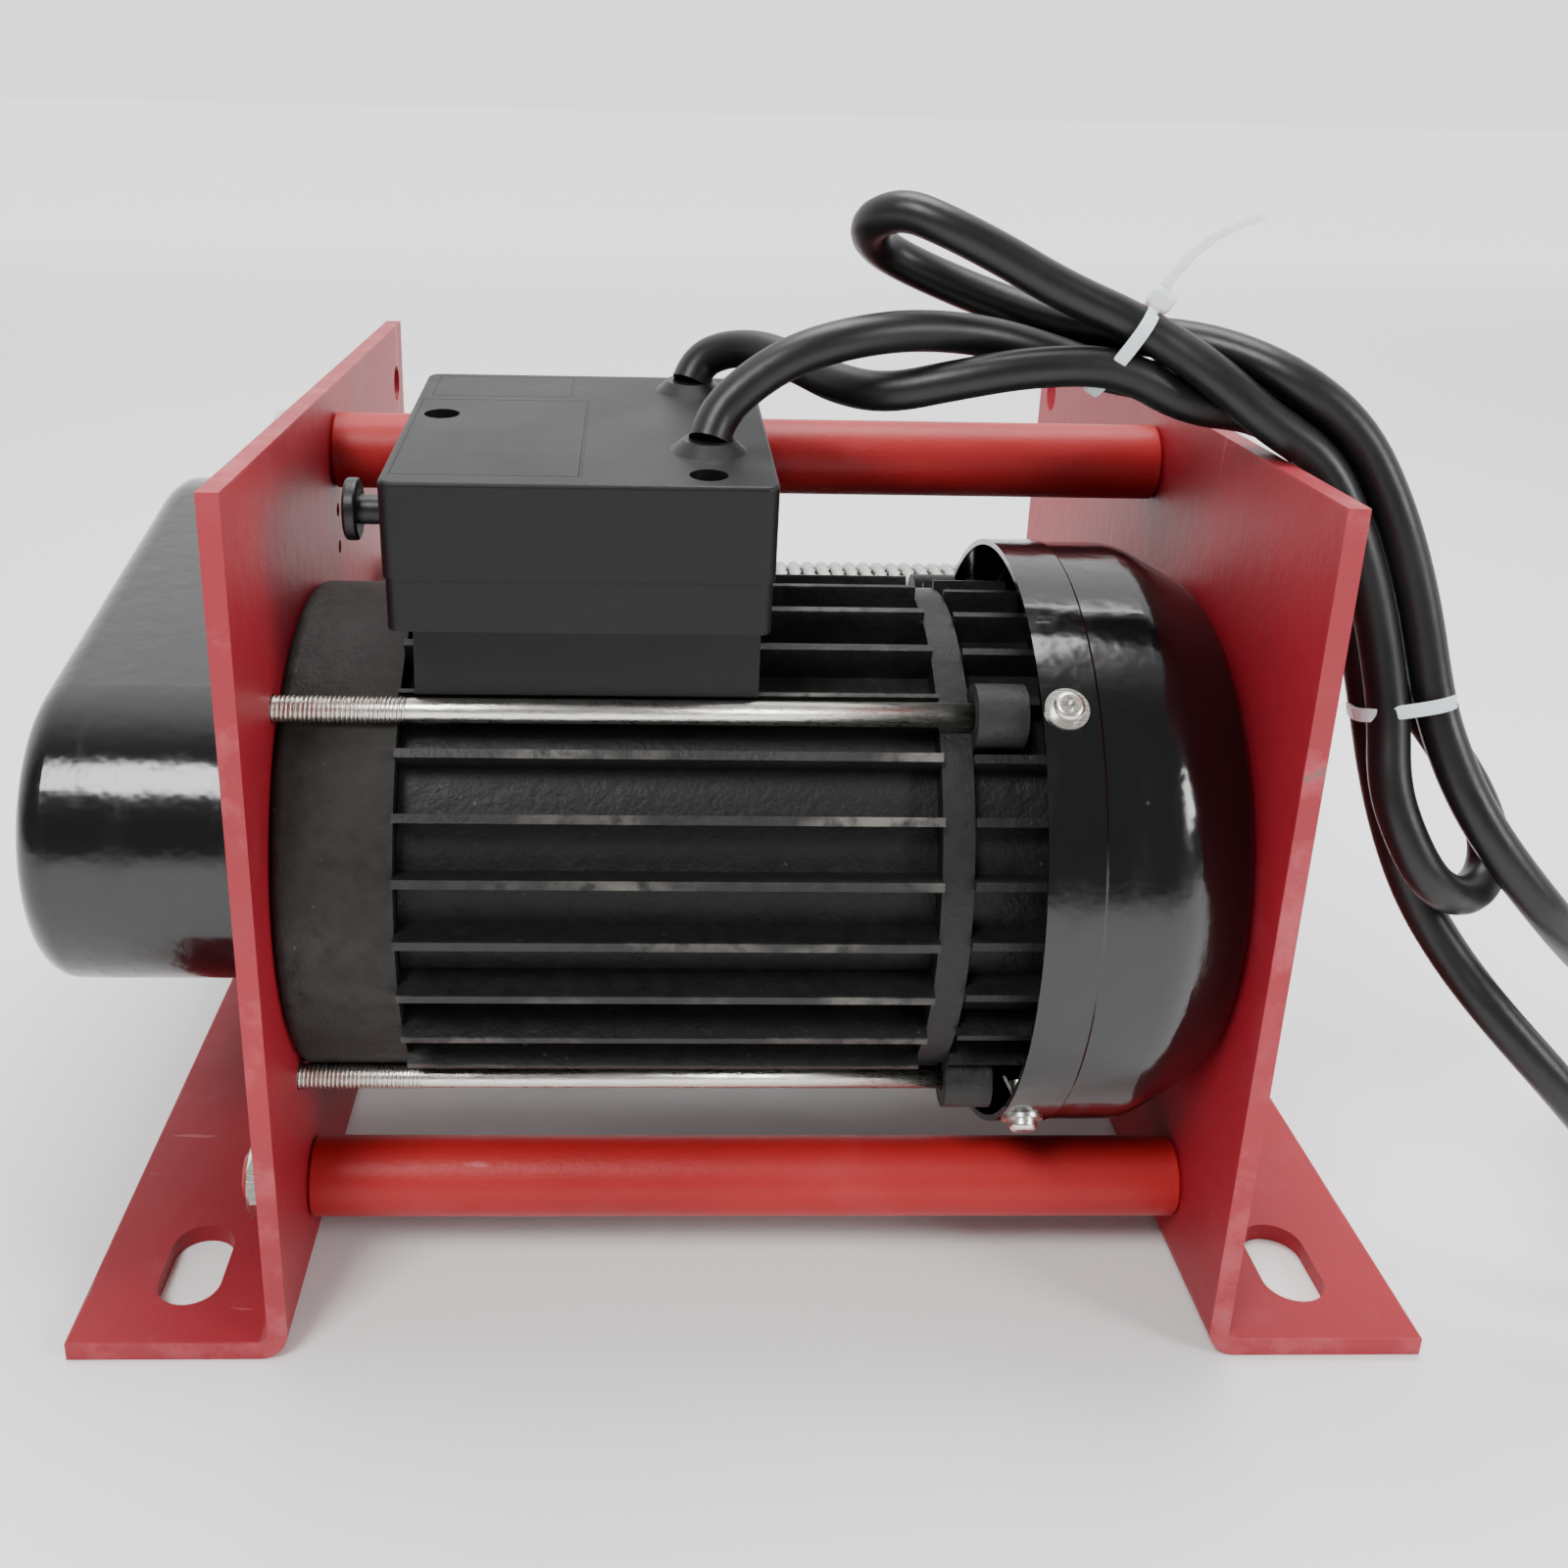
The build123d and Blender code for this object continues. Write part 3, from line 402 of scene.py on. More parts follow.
@dataclass(frozen=True)
class Moulded:
    """Moulded plastic or rubber.

    Args:
        name: The material's name.
        base: Its colour.
        rough: Its roughness.
        grain: Size of the moulded texture, as a noise scale.
        depth: Depth of that texture, in metres.
        clear: Share of light that passes through, for natural nylon.
        gloss: Strength of its reflections.
    """

    name: str
    base: Point
    rough: float = 0.45
    grain: float = 700.0
    depth: float = 0.0001
    clear: float = 0.0
    gloss: float = 0.5

    def build(self) -> bpy.types.Material:
        """Makes the material.

        Returns:
            The finished material.
        """
        s = Surface(self.name)
        grain = s.noise(self.grain, 3.0)
        haze = s.noise(38.0, 5.0).above(0.4, 0.4)
        lighter = tuple(min(1.0, c * 1.3 + 0.001) for c in self.base)
        s.put("Base Color", s.mix(haze, self.base, lighter))
        s.put("Roughness", self.rough + 0.12 * haze + 0.08 * grain)
        s.put("Specular IOR Level", self.gloss)
        if self.clear:
            s.put("Subsurface Weight", self.clear)
        s.bump(grain, self.depth)
        return s.material


@dataclass(frozen=True)
class BoxPlastic:
    """The control box's fine-grained plastic, with two shallow label recesses.

    Args:
        name: The material's name.
        centre_x: The lid's middle.
        front: The lid's front edge, as y and z.
        tilt: How far the lid leans back.
        label: The larger recess, as low and high x, then low and high distance along.
        plate: The smaller recess behind it.
    """

    name: str = "box_grained_plastic"
    centre_x: float = -0.0404
    front: tuple[float, float] = (-0.105, 0.2028)
    tilt: float = math.radians(4.5)
    label: tuple[float, float, float, float] = (-0.0382, 0.0002, 0.005, 0.0635)
    plate: tuple[float, float, float, float] = (-0.0366, -0.0038, 0.0665, 0.0852)

    def outline(self, x: Sock, along: Sock, spans: tuple[float, float, float, float]) -> Sock:
        """A thin rectangular line on the lid.

        Args:
            x: Distance across the lid.
            along: Distance back along the lid.
            spans: Low and high x, then low and high distance along.

        Returns:
            A mask that is 1 on the line.
        """
        x0, x1, y0, y1 = spans
        far_x = abs(x - (x0 + x1) / 2) - (x1 - x0) / 2
        far_y = abs(along - (y0 + y1) / 2) - (y1 - y0) / 2
        far = far_x.either(far_y)
        return far.above(-0.0006, 0.0002) * far.below(0.0002, 0.0002)

    def build(self) -> bpy.types.Material:
        """Makes the material.

        Returns:
            The finished material.
        """
        s = Surface(self.name)
        x, y, z = s.axis()
        across = x - self.centre_x
        along = y - self.front[0]
        top = z - along * math.tan(self.tilt)
        on_lid = top.above(self.front[1] - 0.0012, 0.0002)
        lines = self.outline(across, along, self.label).either(
            self.outline(across, along, self.plate)) * on_lid
        grain = s.noise(1500.0, 2.0)
        haze = s.noise(24.0, 4.0).above(0.35, 0.4)
        s.put("Base Color", s.mix(lines, s.mix(haze, (0.0045, 0.0045, 0.0048), (0.007, 0.007, 0.0073)),
                                  (0.002, 0.002, 0.002)))
        s.put("Specular IOR Level", 0.26)
        s.put("Roughness", 0.44 + 0.12 * haze)
        s.bump(grain * 0.25 - lines * 1.5, 0.00025)
        return s.material


class Finish(Enum):
    """The finishes, by the record's slot names."""

    PAINTED_RED = "painted_red"
    ZINC_STEEL = "zinc_steel"
    BLACK_CAST_ALUMINIUM = "black_cast_aluminium"
    DARK_END_COVER = "dark_end_cover"
    GLOSS_BLACK_SHEET = "gloss_black_sheet"
    MACHINED_STEEL = "machined_steel"
    BRONZE = "bronze"
    LAMINATION_STEEL = "lamination_steel"
    COPPER = "copper"
    WIRE_ROPE = "wire_rope"
    DRUM_STEEL = "drum_steel"
    BOX_PLASTIC = "box_plastic"
    BLACK_RUBBER = "black_rubber"
    TIE_NYLON = "tie_nylon"
    PIN_BRASS = "pin_brass"
    PENDANT_PLASTIC = "pendant_plastic"
    BUTTON_PLASTIC = "button_plastic"
    STOP_RED = "stop_red"


RECIPES = {
    Finish.PAINTED_RED: PlatePaint("crimson_paint", (0.33, 0.010, 0.022)),
    Finish.ZINC_STEEL: Metal("zinc_plate", (0.72, 0.70, 0.64), 0.2),
    Finish.BLACK_CAST_ALUMINIUM: CastBlack("cast_black"),
    Finish.DARK_END_COVER: CastBlack("end_cover_dark", (0.0048, 0.0044, 0.0038), 0.0592, 0.05, 0.5, 0.22),
    Finish.GLOSS_BLACK_SHEET: GlossSheet("gloss_black"),
    Finish.MACHINED_STEEL: Metal("machined_steel", (0.5, 0.5, 0.5), 0.3),
    Finish.BRONZE: Metal("sintered_bronze", (0.55, 0.36, 0.16), 0.4),
    Finish.LAMINATION_STEEL: Metal("laminations", (0.3, 0.3, 0.31), 0.4, (60.0, 1.0, 1.0)),
    Finish.COPPER: Metal("varnished_copper", (0.55, 0.22, 0.1), 0.35),
    Finish.WIRE_ROPE: Metal("galvanized_rope", (0.68, 0.68, 0.66), 0.28),
    Finish.DRUM_STEEL: Metal("drum_steel", (0.35, 0.35, 0.35), 0.4),
    Finish.BOX_PLASTIC: BoxPlastic(),
    Finish.BLACK_RUBBER: Moulded("black_rubber", (0.004, 0.004, 0.0042), 0.33, 420.0, 0.00006, 0.0, 0.4),
    Finish.TIE_NYLON: Moulded("natural_nylon", (0.78, 0.78, 0.75), 0.35, 300.0, 0.00005, 0.3),
    Finish.PIN_BRASS: Metal("nickel_pin", (0.7, 0.66, 0.52), 0.2),
    Finish.PENDANT_PLASTIC: Moulded("pendant_plastic", (0.03, 0.03, 0.033), 0.5),
    Finish.BUTTON_PLASTIC: Moulded("button_plastic", (0.55, 0.55, 0.53), 0.3),
    Finish.STOP_RED: Moulded("stop_red", (0.5, 0.012, 0.012), 0.25),
}
ROD_PAINT = PlatePaint("rod_red_paint", (0.42, 0.016, 0.019), 0.36, False)


def smooth_mesh(name: str, verts: list, faces: list, smooth: bool = True) -> bpy.types.Object:
    """A new mesh object in the scene.

    Args:
        name: The piece's name.
        verts: Its points, in metres.
        faces: Its faces, as point indices.
        smooth: Whether it is shaded smooth.

    Returns:
        The object.
    """
    mesh = bpy.data.meshes.new(name)
    mesh.from_pydata([tuple(v) for v in verts], [], faces)
    mesh.validate()
    if smooth:
        mesh.shade_smooth()
    else:
        mesh.shade_flat()
    piece = bpy.data.objects.new(name, mesh)
    bpy.context.scene.collection.objects.link(piece)
    return piece


def swept_strip(path: list[Vector], wide: list[Vector], width: float, thick: float,
                closed: bool) -> tuple[list, list]:
    """A flat strap along a path.

    Args:
        path: The strap's centre line.
        wide: The direction of its width at each point.
        width: Its width.
        thick: Its thickness.
        closed: Whether the ends meet.

    Returns:
        Points and faces.
    """
    verts, faces = [], []
    count = len(path)
    for i, point in enumerate(path):
        after = path[(i + 1) % count] if closed or i + 1 < count else point
        before = path[i - 1] if closed or i else point
        across = wide[i].normalized()
        out = (after - before).cross(across).normalized()
        for a, b in ((-1, -1), (1, -1), (1, 1), (-1, 1)):
            verts.append(point + across * (a * width / 2) + out * (b * thick / 2))
    for i in range(count if closed else count - 1):
        j = (i + 1) % count
        for k in range(4):
            m = (k + 1) % 4
            faces.append((4 * i + k, 4 * i + m, 4 * j + m, 4 * j + k))
    if not closed:
        last = 4 * (count - 1)
        faces += [(3, 2, 1, 0), (last, last + 1, last + 2, last + 3)]
    return verts, faces


@dataclass
class HelixSweep:
    """A Geometry Nodes tree that sweeps a star profile along a helix."""

    name: str = "helix_sweep"
    tree: bpy.types.NodeTree = field(init=False)

    def __post_init__(self) -> None:
        """Builds the tree with its named inputs."""
        tree = bpy.data.node_groups.new(self.name, "GeometryNodeTree")
        for label, kind in (("Turns", "NodeSocketFloat"), ("Radius", "NodeSocketFloat"),
                            ("Pitch", "NodeSocketFloat"), ("Points per turn", "NodeSocketInt"),
                            ("Lobes", "NodeSocketInt"), ("Lobe radius", "NodeSocketFloat"),
                            ("Valley radius", "NodeSocketFloat"), ("Twist", "NodeSocketFloat"),
                            ("Finish", "NodeSocketMaterial")):
            tree.interface.new_socket(label, in_out="INPUT", socket_type=kind)
        tree.interface.new_socket("Geometry", in_out="OUTPUT", socket_type="NodeSocketGeometry")
        add, link = tree.nodes.new, tree.links.new
        sizes, out = add("NodeGroupInput"), add("NodeGroupOutput")
        height = add("ShaderNodeMath")
        height.operation = "MULTIPLY"
        spiral, star = add("GeometryNodeCurveSpiral"), add("GeometryNodeCurveStar")
        link(sizes.outputs["Turns"], height.inputs[0])
        link(sizes.outputs["Pitch"], height.inputs[1])
        link(sizes.outputs["Points per turn"], spiral.inputs["Resolution"])
        link(sizes.outputs["Turns"], spiral.inputs["Rotations"])
        link(sizes.outputs["Radius"], spiral.inputs["Start Radius"])
        link(sizes.outputs["Radius"], spiral.inputs["End Radius"])
        link(height.outputs[0], spiral.inputs["Height"])
        link(sizes.outputs["Lobes"], star.inputs["Points"])
        link(sizes.outputs["Valley radius"], star.inputs["Inner Radius"])
        link(sizes.outputs["Lobe radius"], star.inputs["Outer Radius"])
        place, twist = add("GeometryNodeSplineParameter"), add("ShaderNodeMath")
        twist.operation = "MULTIPLY"
        link(place.outputs["Length"], twist.inputs[0])
        link(sizes.outputs["Twist"], twist.inputs[1])
        tilt = add("GeometryNodeSetCurveTilt")
        link(spiral.outputs["Curve"], tilt.inputs["Curve"])
        link(twist.outputs[0], tilt.inputs["Tilt"])
        sweep = add("GeometryNodeCurveToMesh")
        sweep.inputs["Fill Caps"].default_value = True
        link(tilt.outputs["Curve"], sweep.inputs["Curve"])
        link(star.outputs["Curve"], sweep.inputs["Profile Curve"])
        turn = add("GeometryNodeTransform")
        turn.inputs["Rotation"].default_value = (0.0, math.pi / 2, 0.0)
        link(sweep.outputs["Mesh"], turn.inputs["Geometry"])
        shade, real, paint = (add("GeometryNodeSetShadeSmooth"), add("GeometryNodeRealizeInstances"),
                              add("GeometryNodeSetMaterial"))
        link(turn.outputs["Geometry"], shade.inputs["Geometry"])
        link(shade.outputs["Geometry"], real.inputs["Geometry"])
        link(real.outputs["Geometry"], paint.inputs["Geometry"])
        link(sizes.outputs["Finish"], paint.inputs["Material"])
        link(paint.outputs["Geometry"], out.inputs["Geometry"])
        self.tree = tree

    def make(self, name: str, at: Point, sizes: dict) -> bpy.types.Object:
        """Evaluates the tree to a plain mesh along X.

        Args:
            name: The piece's name.
            at: Where the helix starts, on its axis.
            sizes: The named inputs.

        Returns:
            A mesh object at the origin.
        """
        holder = smooth_mesh(name + "_tool", [], [])
        modifier = holder.modifiers.new("sweep", "NODES")
        modifier.node_group = self.tree
        for item in self.tree.interface.items_tree:
            if item.in_out == "INPUT":
                modifier[item.identifier] = sizes[item.name]
        graph = bpy.context.evaluated_depsgraph_get()
        graph.update()
        mesh = bpy.data.meshes.new_from_object(holder.evaluated_get(graph))
        mesh.name = name
        mesh.transform(Matrix.Translation(at))
        bpy.data.objects.remove(holder)
        piece = bpy.data.objects.new(name, mesh)
        bpy.context.scene.collection.objects.link(piece)
        return piece


@dataclass
class Studio:
    """The pale floor, the soft lights and the camera.

    Args:
        eye: Where the camera stands.
        right: The camera's right-hand direction.
        up: The camera's up direction.
        lens: Its focal length, in millimetres on a 36 mm sensor.
        shift: The shift of its frame.
    """

    eye: Point = (-0.0292, -0.4133, 0.2752)
    right: Point = (0.99937, -0.02829, 0.0213)
    up: Point = (-0.01025, 0.34471, 0.93867)
    lens: float = 36.52
    shift: tuple[float, float] = (0.0614, -0.0664)

    def camera(self) -> None:
        """Makes the camera."""
        data = bpy.data.cameras.new("camera")
        data.sensor_width = 36.0
        data.lens = self.lens
        data.shift_x, data.shift_y = self.shift
        data.clip_start = 0.01
        eye = bpy.data.objects.new("camera", data)
        right, up = Vector(self.right).normalized(), Vector(self.up).normalized()
        back = right.cross(up)
        eye.matrix_world = Matrix.Translation(self.eye) @ Matrix((right, up, back)).transposed().to_4x4()
        bpy.context.scene.collection.objects.link(eye)
        bpy.context.scene.camera = eye

    def lamp(self, name: str, at: Point, aim: Point, size: float, watts: float) -> None:
        """One soft square light.

        Args:
            name: The light's name.
            at: Where it stands.
            aim: What it points at.
            size: Its side.
            watts: Its power.
        """
        data = bpy.data.lights.new(name, "AREA")
        data.shape = "SQUARE"
        data.size = size
        data.energy = watts
        lamp = bpy.data.objects.new(name, data)
        lamp.location = at
        lamp.rotation_euler = (Vector(aim) - Vector(at)).to_track_quat("-Z", "Y").to_euler()
        bpy.context.scene.collection.objects.link(lamp)

    def build(self) -> None:
        """Makes the floor, with a painted glow towards the back, the world and the lights."""
        self.camera()
        floor = smooth_mesh("floor", [(-30, -30, -0.0002), (30, -30, -0.0002), (30, 30, -0.0002),
                                      (-30, 30, -0.0002)], [(0, 1, 2, 3)], False)
        surface = Surface("pale_floor")
        surface.put("Base Color", surface.mix(surface.noise(3.0), (0.93, 0.93, 0.93), (0.95, 0.95, 0.95)))
        surface.put("Roughness", 0.9)
        # Painted glow: the floor emits light that rises with distance towards the back, so it fades into
        # the bright world.
        distance = surface.axis()[1].above(0.35, 2.4)
        surface.put("Emission Color", surface.mix(distance, (0.0, 0.0, 0.0), (1.0, 1.0, 1.0)))
        surface.put("Emission Strength", 1.0)
        floor.data.materials.append(surface.material)
        world = bpy.data.worlds.new("studio")
        world.use_nodes = True
        tree = world.node_tree
        sky = tree.nodes["Background"]
        sky.inputs[0].default_value = (1.0, 1.0, 1.0, 1.0)
        toward, split = tree.nodes.new("ShaderNodeTexCoord"), tree.nodes.new("ShaderNodeSeparateXYZ")
        tree.links.new(toward.outputs["Generated"], split.inputs[0])
        behind = Sock(tree, split.outputs[1]).above(-0.25, 0.6)
        tree.links.new((0.28 + 1.5 * behind).link, sky.inputs[1])
        bpy.context.scene.world = world
        middle = (0.0, 0.0, 0.1)
        self.lamp("key", (-0.5, -0.9, 1.2), middle, 0.45, 17.0)
        self.lamp("fill", (1.1, -0.8, 0.7), middle, 0.4, 10.0)
        self.lamp("top", (0.1, 0.3, 1.5), middle, 0.8, 22.0)


@dataclass
class Cord:
    """A free cord: its route in millimetres, then a tied coil, then a short tail.

    Args:
        name: The piece's name.
        route: Control points from the gland to the coil.
        coil_at: The coil's centre.
        tail: Control points from the coil to what is on the end.
        nodes: The CAD nodes it stands for.
        far_end: What is on the end; not used.
        with_pieces: The CAD nodes that lie with it; not used.
        radius: The cord's radius.
        mean: The coil's mean radius.
    """

    name: str
    route: list[Point]
    coil_at: tuple[float, float]
    tail: list[Point]
    nodes: tuple[str, ...]
    far_end: str
    with_pieces: tuple[str, ...]
    radius: float = 4.5
    mean: float = 48.0

    def slot_place(self, angle: float) -> tuple[float, float]:
        """The cord's place within the coil's bundle.

        Args:
            angle: How far the coil has turned, in degrees.

        Returns:
            The offset from the mean radius, and the height.
        """
        def ease(low: float, high: float) -> float:
            """A smooth step from 0 to 1 between two angles."""
            t = min(1.0, max(0.0, (angle - low) / (high - low)))
            return t * t * (3 - 2 * t)
        inward, upward = ease(280, 350), ease(550, 640)
        return 4.7 - 9.4 * inward + 4.7 * upward, 4.8 + 9.6 * upward

    def coil(self) -> list[Point]:
        """The coil's two and a quarter turns.

        Returns:
            Points that continue the cord's own line.
        """
        points = []
        steps = 36
        for i in range(1, steps * 2 + steps // 4):
            angle = 360.0 * i / steps
            offset, height = self.slot_place(angle)
            turn = math.radians(angle - 90)
            reach = self.mean + offset
            points.append((self.coil_at[0] + reach * math.cos(turn),
                           self.coil_at[1] + reach * math.sin(turn), height))
        return points

    def build(self) -> bpy.types.Object:
        """Returns:
            The cord's curve object.
        """
        points = [Vector(p) / 1000 for p in self.route + self.coil() + self.tail]
        data = bpy.data.curves.new(self.name, "CURVE")
        data.dimensions = "3D"
        spline = data.splines.new("NURBS")
        spline.points.add(len(points) - 1)
        for target, point in zip(spline.points, points):
            target.co = (*point, 1.0)
        spline.order_u = 3
        spline.use_endpoint_u = True
        data.resolution_u = 6
        piece = bpy.data.objects.new(self.name, data)
        bpy.context.scene.collection.objects.link(piece)
        bpy.context.view_layer.update()
        line = bpy.data.meshes.new_from_object(piece)
        bpy.data.meshes.remove(line)
        data.bevel_depth = self.radius / 1000
        data.bevel_resolution = 6
        data.use_fill_caps = True
        data.materials.append(DRESSED[Finish.BLACK_RUBBER])
        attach(piece, "frame")
        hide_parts(*self.nodes)
        2 * self.radius / 1000
        return piece


MAINS_ROUTE = [
    (-16.4, -29.4, 210.8), (-14.8, -27.7, 214.9), (-9.3, -28.8, 218.4), (-1.0, -33.9, 219.8),
    (8.1, -44.5, 217.9), (15.6, -55.4, 215.2), (25.8, -64.4, 214.7), (40.3, -67.8, 218.6),
    (57.3, -68.3, 221.9), (75.9, -68.2, 222.3), (91.7, -68.1, 213.8), (108.5, -67.5, 212.5),
    (120.8, -70.3, 204.5), (126.0, -73.3, 189.9), (131.8, -78.0, 171.5), (136.3, -83.9, 149.8),
    (138.4, -88.7, 136.4), (143.1, -91.1, 121.7), (148.8, -95.2, 108.0), (155.7, -101.8, 96.6),
    (163.3, -110.9, 87.0), (176.2, -119.4, 73.8), (190.0, -121.0, 59.0), (204.0, -122.0, 43.0),
    (220.0, -122.2, 26.5), (236.0, -121.6, 13.0), (250.0, -121.2, 6.5), (264.0, -120.8, 4.9),
    (276.0, -120.7, 4.8), (286.0, -120.7, 4.8)]
CONTROL_ROUTE = [
    (-13.8, -79.6, 206.8), (-12.4, -77.0, 211.5), (-5.8, -74.8, 218.1), (4.3, -72.9, 224.4),
    (17.6, -70.0, 227.9), (31.9, -64.8, 228.9), (49.0, -57.7, 226.8), (64.2, -55.5, 222.6),
    (76.8, -59.1, 218.8), (95.7, -58.4, 216.7), (112.8, -64.2, 217.3), (125.4, -68.3, 208.7),
    (134.5, -72.2, 193.6), (141.3, -77.5, 173.9), (145.9, -83.6, 151.7), (154.2, -87.6, 140.9),
    (161.0, -90.5, 130.9), (165.2, -93.5, 120.2), (161.5, -99.2, 113.1), (153.7, -104.5, 112.2),
    (145.5, -106.8, 117.0), (139.8, -104.4, 125.8), (135.4, -99.9, 137.7), (136.1, -93.4, 152.3),
    (131.7, -87.5, 174.1), (125.5, -82.8, 192.4), (118.2, -79.7, 205.3), (106.2, -77.8, 212.3),
    (93.5, -72.9, 222.7), (79.3, -65.1, 231.0), (62.5, -64.8, 237.6), (48.5, -62.6, 245.1),
    (36.6, -61.3, 250.5), (28.5, -57.8, 253.5), (22.5, -53.1, 251.3), (22.2, -46.1, 247.0),
    (27.5, -40.4, 242.7), (37.8, -39.3, 238.0), (51.6, -42.7, 232.9), (65.9, -49.0, 228.7),
    (80.1, -56.0, 227.5), (97.5, -63.2, 226.7), (111.6, -74.5, 221.6), (125.5, -77.7, 211.6),
    (134.5, -81.7, 196.1), (141.2, -87.0, 176.5), (145.7, -93.1, 154.2), (149.0, -98.2, 143.6),
    (153.7, -103.2, 133.3), (161.1, -107.4, 122.7), (174.1, -109.9, 108.4), (190.0, -98.0, 94.0),
    (206.0, -84.0, 80.0), (224.0, -67.2, 66.0), (242.0, -52.0, 53.5), (260.0, -37.6, 43.0),
    (280.0, -24.0, 34.0), (300.0, -11.0, 26.0), (318.0, 1.0, 16.5), (334.0, 9.5, 8.5),
    (350.0, 12.8, 5.0), (362.0, 13.3, 4.8)]
MAINS_TAIL = [(347.7, -66.0, 14.2), (347.8, -54.0, 12.6), (348.5, -43.0, 11.0), (354.5, -33.5, 10.5),
              (364.5, -30.0, 11.0), (375.5, -34.0, 12.5), (381.5, -43.0, 13.5), (383.0, -57.0, 14.0)]
CONTROL_TAIL = [(424.7, 68.0, 14.2), (424.7, 80.0, 12.6), (425.5, 92.0, 10.6), (431.0, 102.5, 10.5),
                (441.0, 106.5, 12.5), (452.0, 102.5, 15.0), (459.0, 92.0, 17.0), (461.0, 76.0, 18.0)]


@dataclass
class CableTies:
    """Nylon ties around the cords.

    Args:
        width: The strap's width.
        thick: The strap's thickness.
    """

    width: float = 0.0030
    thick: float = 0.0011

    def loop(self, centre: Point, along: Point, across: Point, half: tuple[float, float],
             steps: int = 40) -> tuple[list[Vector], Vector, Vector]:
        """A rounded loop around a bundle.

        Args:
            centre: The bundle's centre.
            along: The bundle's direction.
            across: The direction of the loop's longer side.
            half: Half the loop's two sizes.
            steps: How many points it has.

        Returns:
            The loop's points, the bundle's direction and the longer side's direction.
        """
        axis = Vector(along).normalized()
        u = (Vector(across) - axis * Vector(across).dot(axis)).normalized()
        v = axis.cross(u)
        points = []
        for i in range(steps):
            a = 2 * math.pi * i / steps
            c, s = math.cos(a), math.sin(a)
            flat = (abs(c) ** 3 + abs(s) ** 3) ** (-1 / 3)
            points.append(Vector(centre) + u * (half[0] * c * flat) + v * (half[1] * s * flat))
        return points, axis, u

    def tie(self, centre: Point, along: Point, across: Point, half: tuple[float, float],
            tail: list[Point]) -> tuple[list, list]:
        """One tie: its loop, its head and its tail.

        Args:
            centre: The bundle's centre.
            along: The bundle's direction.
            across: The side where the head sits.
            half: Half the loop's two sizes.
            tail: The tail's points after the head.

        Returns:
            Points and faces.
        """
        path, axis, u = self.loop(centre, along, across, half)
        verts, faces = swept_strip(path, [axis] * len(path), self.width, self.thick, True)
        out = path[0] + u * 0.0022
        side = axis.cross(u)
        first = len(verts)
        rings = ((-0.0022, 0.0022), (-0.0012, 0.0029), (0.0018, 0.0029), (0.0028, 0.0020))
        for up, size in rings:
            for k in range(12):
                a = 2 * math.pi * (k + 0.5) / 12
                c, s = math.cos(a), math.sin(a)
                flat = (abs(c) ** 4 + abs(s) ** 4) ** -0.25
                verts.append(out + u * up + (axis * c + side * s * 0.85) * (size * flat))
        for r in range(len(rings) - 1):
            for k in range(12):
                m = (k + 1) % 12
                a, b = first + 12 * r, first + 12 * (r + 1)
                faces.append((a + k, a + m, b + m, b + k))
        faces.append(tuple(first + k for k in reversed(range(12))))
        faces.append(tuple(first + 12 * (len(rings) - 1) + k for k in range(12)))
        if tail:
            points = [out] + [Vector(p) for p in tail]
            strip, sides = swept_strip(points, [axis] * len(points), self.width * 0.8, self.thick, False)
            start = len(verts)
            verts += strip
            faces += [tuple(start + i for i in f) for f in sides]
        return verts, faces

    def piece(self, name: str, ties: list[tuple[list, list]], node: str) -> None:
        """Joins ties to one piece and dresses it.

        Args:
            name: The piece's name.
            ties: Points and faces of each tie.
            node: The CAD node it stands for.
        """
        verts, faces = [], []
        for v, f in ties:
            start = len(verts)
            verts += v
            faces += [tuple(start + i for i in face) for face in f]
        made = smooth_mesh(name, verts, faces, False)
        made.data.materials.append(DRESSED[Finish.TIE_NYLON])
        bevel = made.modifiers.new("bevel", "BEVEL")
        bevel.width = 0.00035
        bevel.segments = 2
        graph = bpy.context.evaluated_depsgraph_get()
        made.data = bpy.data.meshes.new_from_object(made.evaluated_get(graph))
        made.modifiers.clear()
        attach(made, "frame")
        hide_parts(node)
        LOG.info("%s made of %d ties", name, len(ties))

    def build(self) -> None:
        """Makes the bundle's ties and the coils' ties."""
        upper = self.tie((0.0775, -0.0618, 0.2251), (14, -3, -9), (0.5, -0.25, 0.86), (0.0108, 0.0104),
                         [(0.0850, -0.0652, 0.2400), (0.0892, -0.0648, 0.2455),
                          (0.0940, -0.0645, 0.2495), (0.1000, -0.0645, 0.2525), (0.1041, -0.0644, 0.2540)])
        lower = self.tie((0.1410, -0.0884, 0.1520), (4.5, -6, -22), (0.25, 1.0, -0.2), (0.0104, 0.0104), [])
        self.piece("bundle_tie_straps", [upper, lower], "bundle_ties")
        coils = []
        for x, y in COILS_AT:
            coils.append(self.tie((x / 1000, y / 1000 + 0.048, 0.0058), (1, 0, 0), (0, 0, 1),
                                  (0.0052, 0.0098), []))
        self.piece("coil_tie_straps", coils, "coil_ties")


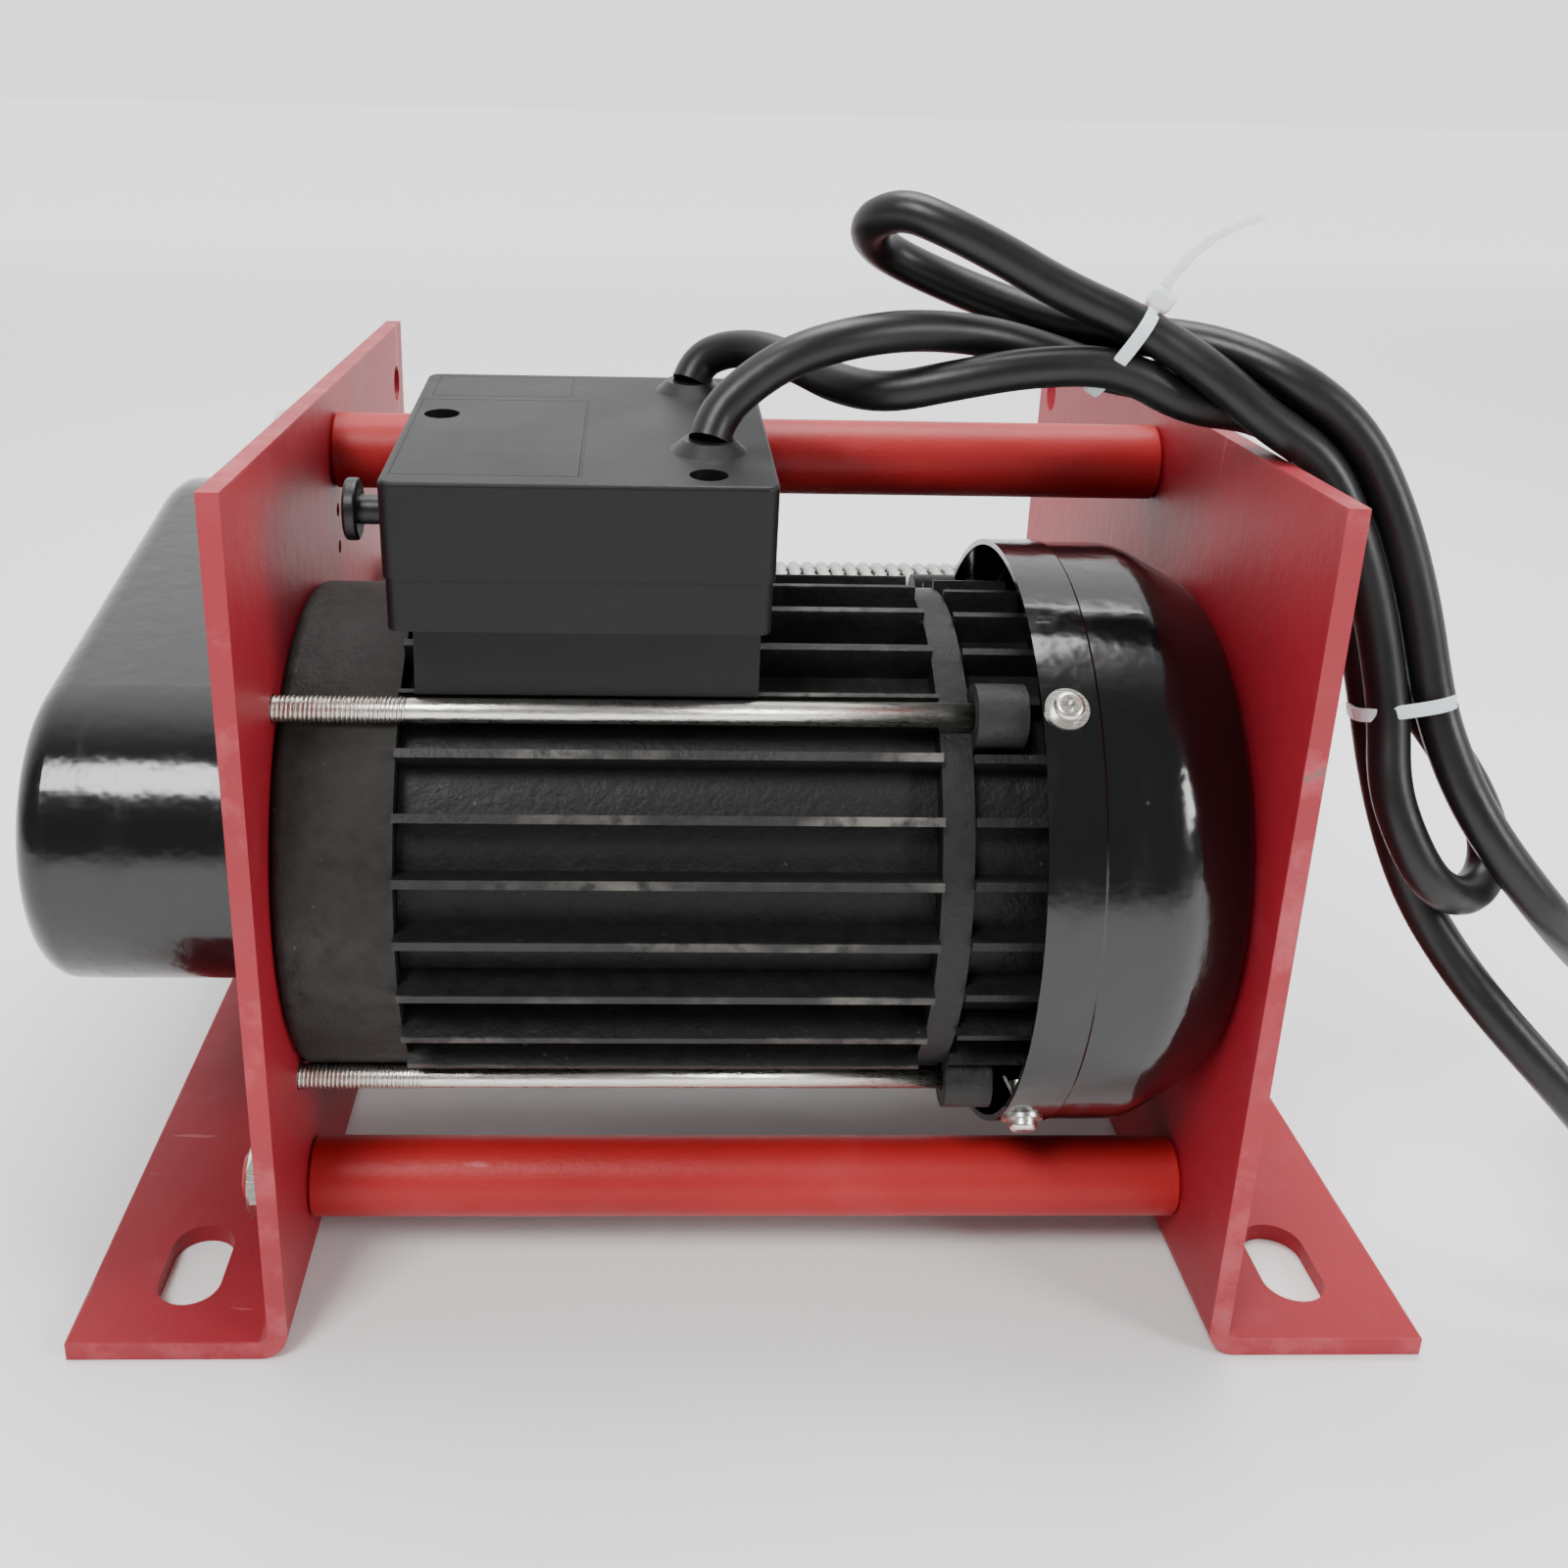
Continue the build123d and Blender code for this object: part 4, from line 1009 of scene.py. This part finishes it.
@dataclass
class ThroughBolts:
    """Four zinc studs with rolled threads at the drive end.

    Args:
        dy: Half their spacing across the motor.
        dz: Half their spacing in height.
        start: Where the studs start.
        thread_end: Where the threads end.
        shank_end: Where the studs end.
        core: The thread's core radius.
        shank: The plain shank's radius.
    """

    dy: float = 0.0423
    dz: float = 0.0464
    start: float = -0.1115
    thread_end: float = -0.0780
    shank_end: float = 0.0540
    core: float = 0.00262
    shank: float = 0.0027

    def rod(self, y: float, z: float) -> tuple[list, list]:
        """The stud's core and shank as a turned shape.

        Args:
            y: The stud's y.
            z: The stud's z.

        Returns:
            Points and faces.
        """
        stations = [(self.start, 0.0022), (self.start + 0.0006, self.core), (self.thread_end, self.core),
                    (self.thread_end + 0.0005, self.shank), (self.shank_end, self.shank)]
        count = 32
        verts = [(x, y + r * math.cos(2 * math.pi * k / count), z + r * math.sin(2 * math.pi * k / count))
                 for x, r in stations for k in range(count)]
        faces = []
        for i in range(len(stations) - 1):
            for k in range(count):
                m = (k + 1) % count
                faces.append((count * i + k, count * i + m, count * (i + 1) + m, count * (i + 1) + k))
        faces.append(tuple(reversed(range(count))))
        faces.append(tuple(count * (len(stations) - 1) + k for k in range(count)))
        return verts, [tuple(reversed(f)) for f in faces]

    def build(self, helix: HelixSweep) -> None:
        """Makes the studs and their threads."""
        index = 0
        for sy in (-1, 1):
            for sz in (-1, 1):
                index += 1
                y, z = MOTOR_AXIS[0] + sy * self.dy, MOTOR_AXIS[1] + sz * self.dz
                shank = smooth_mesh(f"stud_shank_{index}", *self.rod(y, z))
                shank.data.materials.append(DRESSED[Finish.ZINC_STEEL])
                turns = (self.thread_end - self.start) / 0.001 - 1.0
                thread = helix.make(f"stud_thread_{index}", (self.start + 0.0005, y, z), {
                    "Turns": turns, "Radius": self.core, "Pitch": 0.001, "Points per turn": 28,
                    "Lobes": 3, "Lobe radius": 0.00042, "Valley radius": 0.00026, "Twist": 0.0,
                    "Finish": DRESSED[Finish.ZINC_STEEL]})
                for piece in (shank, thread):
                    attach(piece, "frame")
                    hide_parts("motor_through_bolts")
        LOG.info("%d studs with threads", index)


@dataclass
class WoundRope:
    """The stranded wire rope, wound in touching turns on the drum.

    Args:
        turns: How many turns there are.
        pitch: The distance between turns.
        centre_r: The radius of the rope's centre line.
        rope_r: The rope's radius.
    """

    turns: float = 43.6
    pitch: float = 0.0044
    centre_r: float = 0.0342
    rope_r: float = 0.00208

    def build(self, helix: HelixSweep) -> None:
        """Makes the rope as one long twisted six-strand sweep."""
        rope = helix.make("stranded_rope", (-self.turns * self.pitch / 2, *DRUM_AXIS), {
            "Turns": self.turns, "Radius": self.centre_r, "Pitch": self.pitch, "Points per turn": 92,
            "Lobes": 6, "Lobe radius": self.rope_r, "Valley radius": self.rope_r * 0.74,
            "Twist": 2 * math.pi / 0.026, "Finish": DRESSED[Finish.WIRE_ROPE]})
        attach(rope, "drum")
        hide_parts("wire_rope")
        LOG.info("rope of %.1f turns", self.turns)


def dress_nodes() -> None:
    """Gives every CAD node its finish by its slot."""
    rods = ROD_PAINT.build()
    for part in frame["record"]["subparts"]:
        node = frame["nodes"][part["node"]]
        finish = rods if part["node"].endswith("tie_rod") else DRESSED[Finish(part["material_slot"])]
        for slot in node.material_slots:
            slot.material = finish
        LOG.info("%s dressed in %s", part["node"], finish.name)


DRESSED: dict[Finish, bpy.types.Material] = {}


def main() -> None:
    """Builds the scene in order."""
    logging.basicConfig(level=logging.INFO)
    for finish, recipe in RECIPES.items():
        DRESSED[finish] = recipe.build()
    Studio().build()
    dress_nodes()
    Cord("mains_cord", MAINS_ROUTE, COILS_AT[0], MAINS_TAIL,
         ("mains_lead", "mains_lead_coil", "mains_lead_tail"), "plug", ("mains_plug", "plug_pins")).build()
    Cord("pendant_cord", CONTROL_ROUTE, COILS_AT[1], CONTROL_TAIL,
         ("control_cable", "control_cable_coil", "control_cable_tail"), "object", ()).build()
    CableTies().build()
    helix = HelixSweep()
    ThroughBolts().build(helix)
    WoundRope().build(helix)


if __name__ == "__main__":
    main()
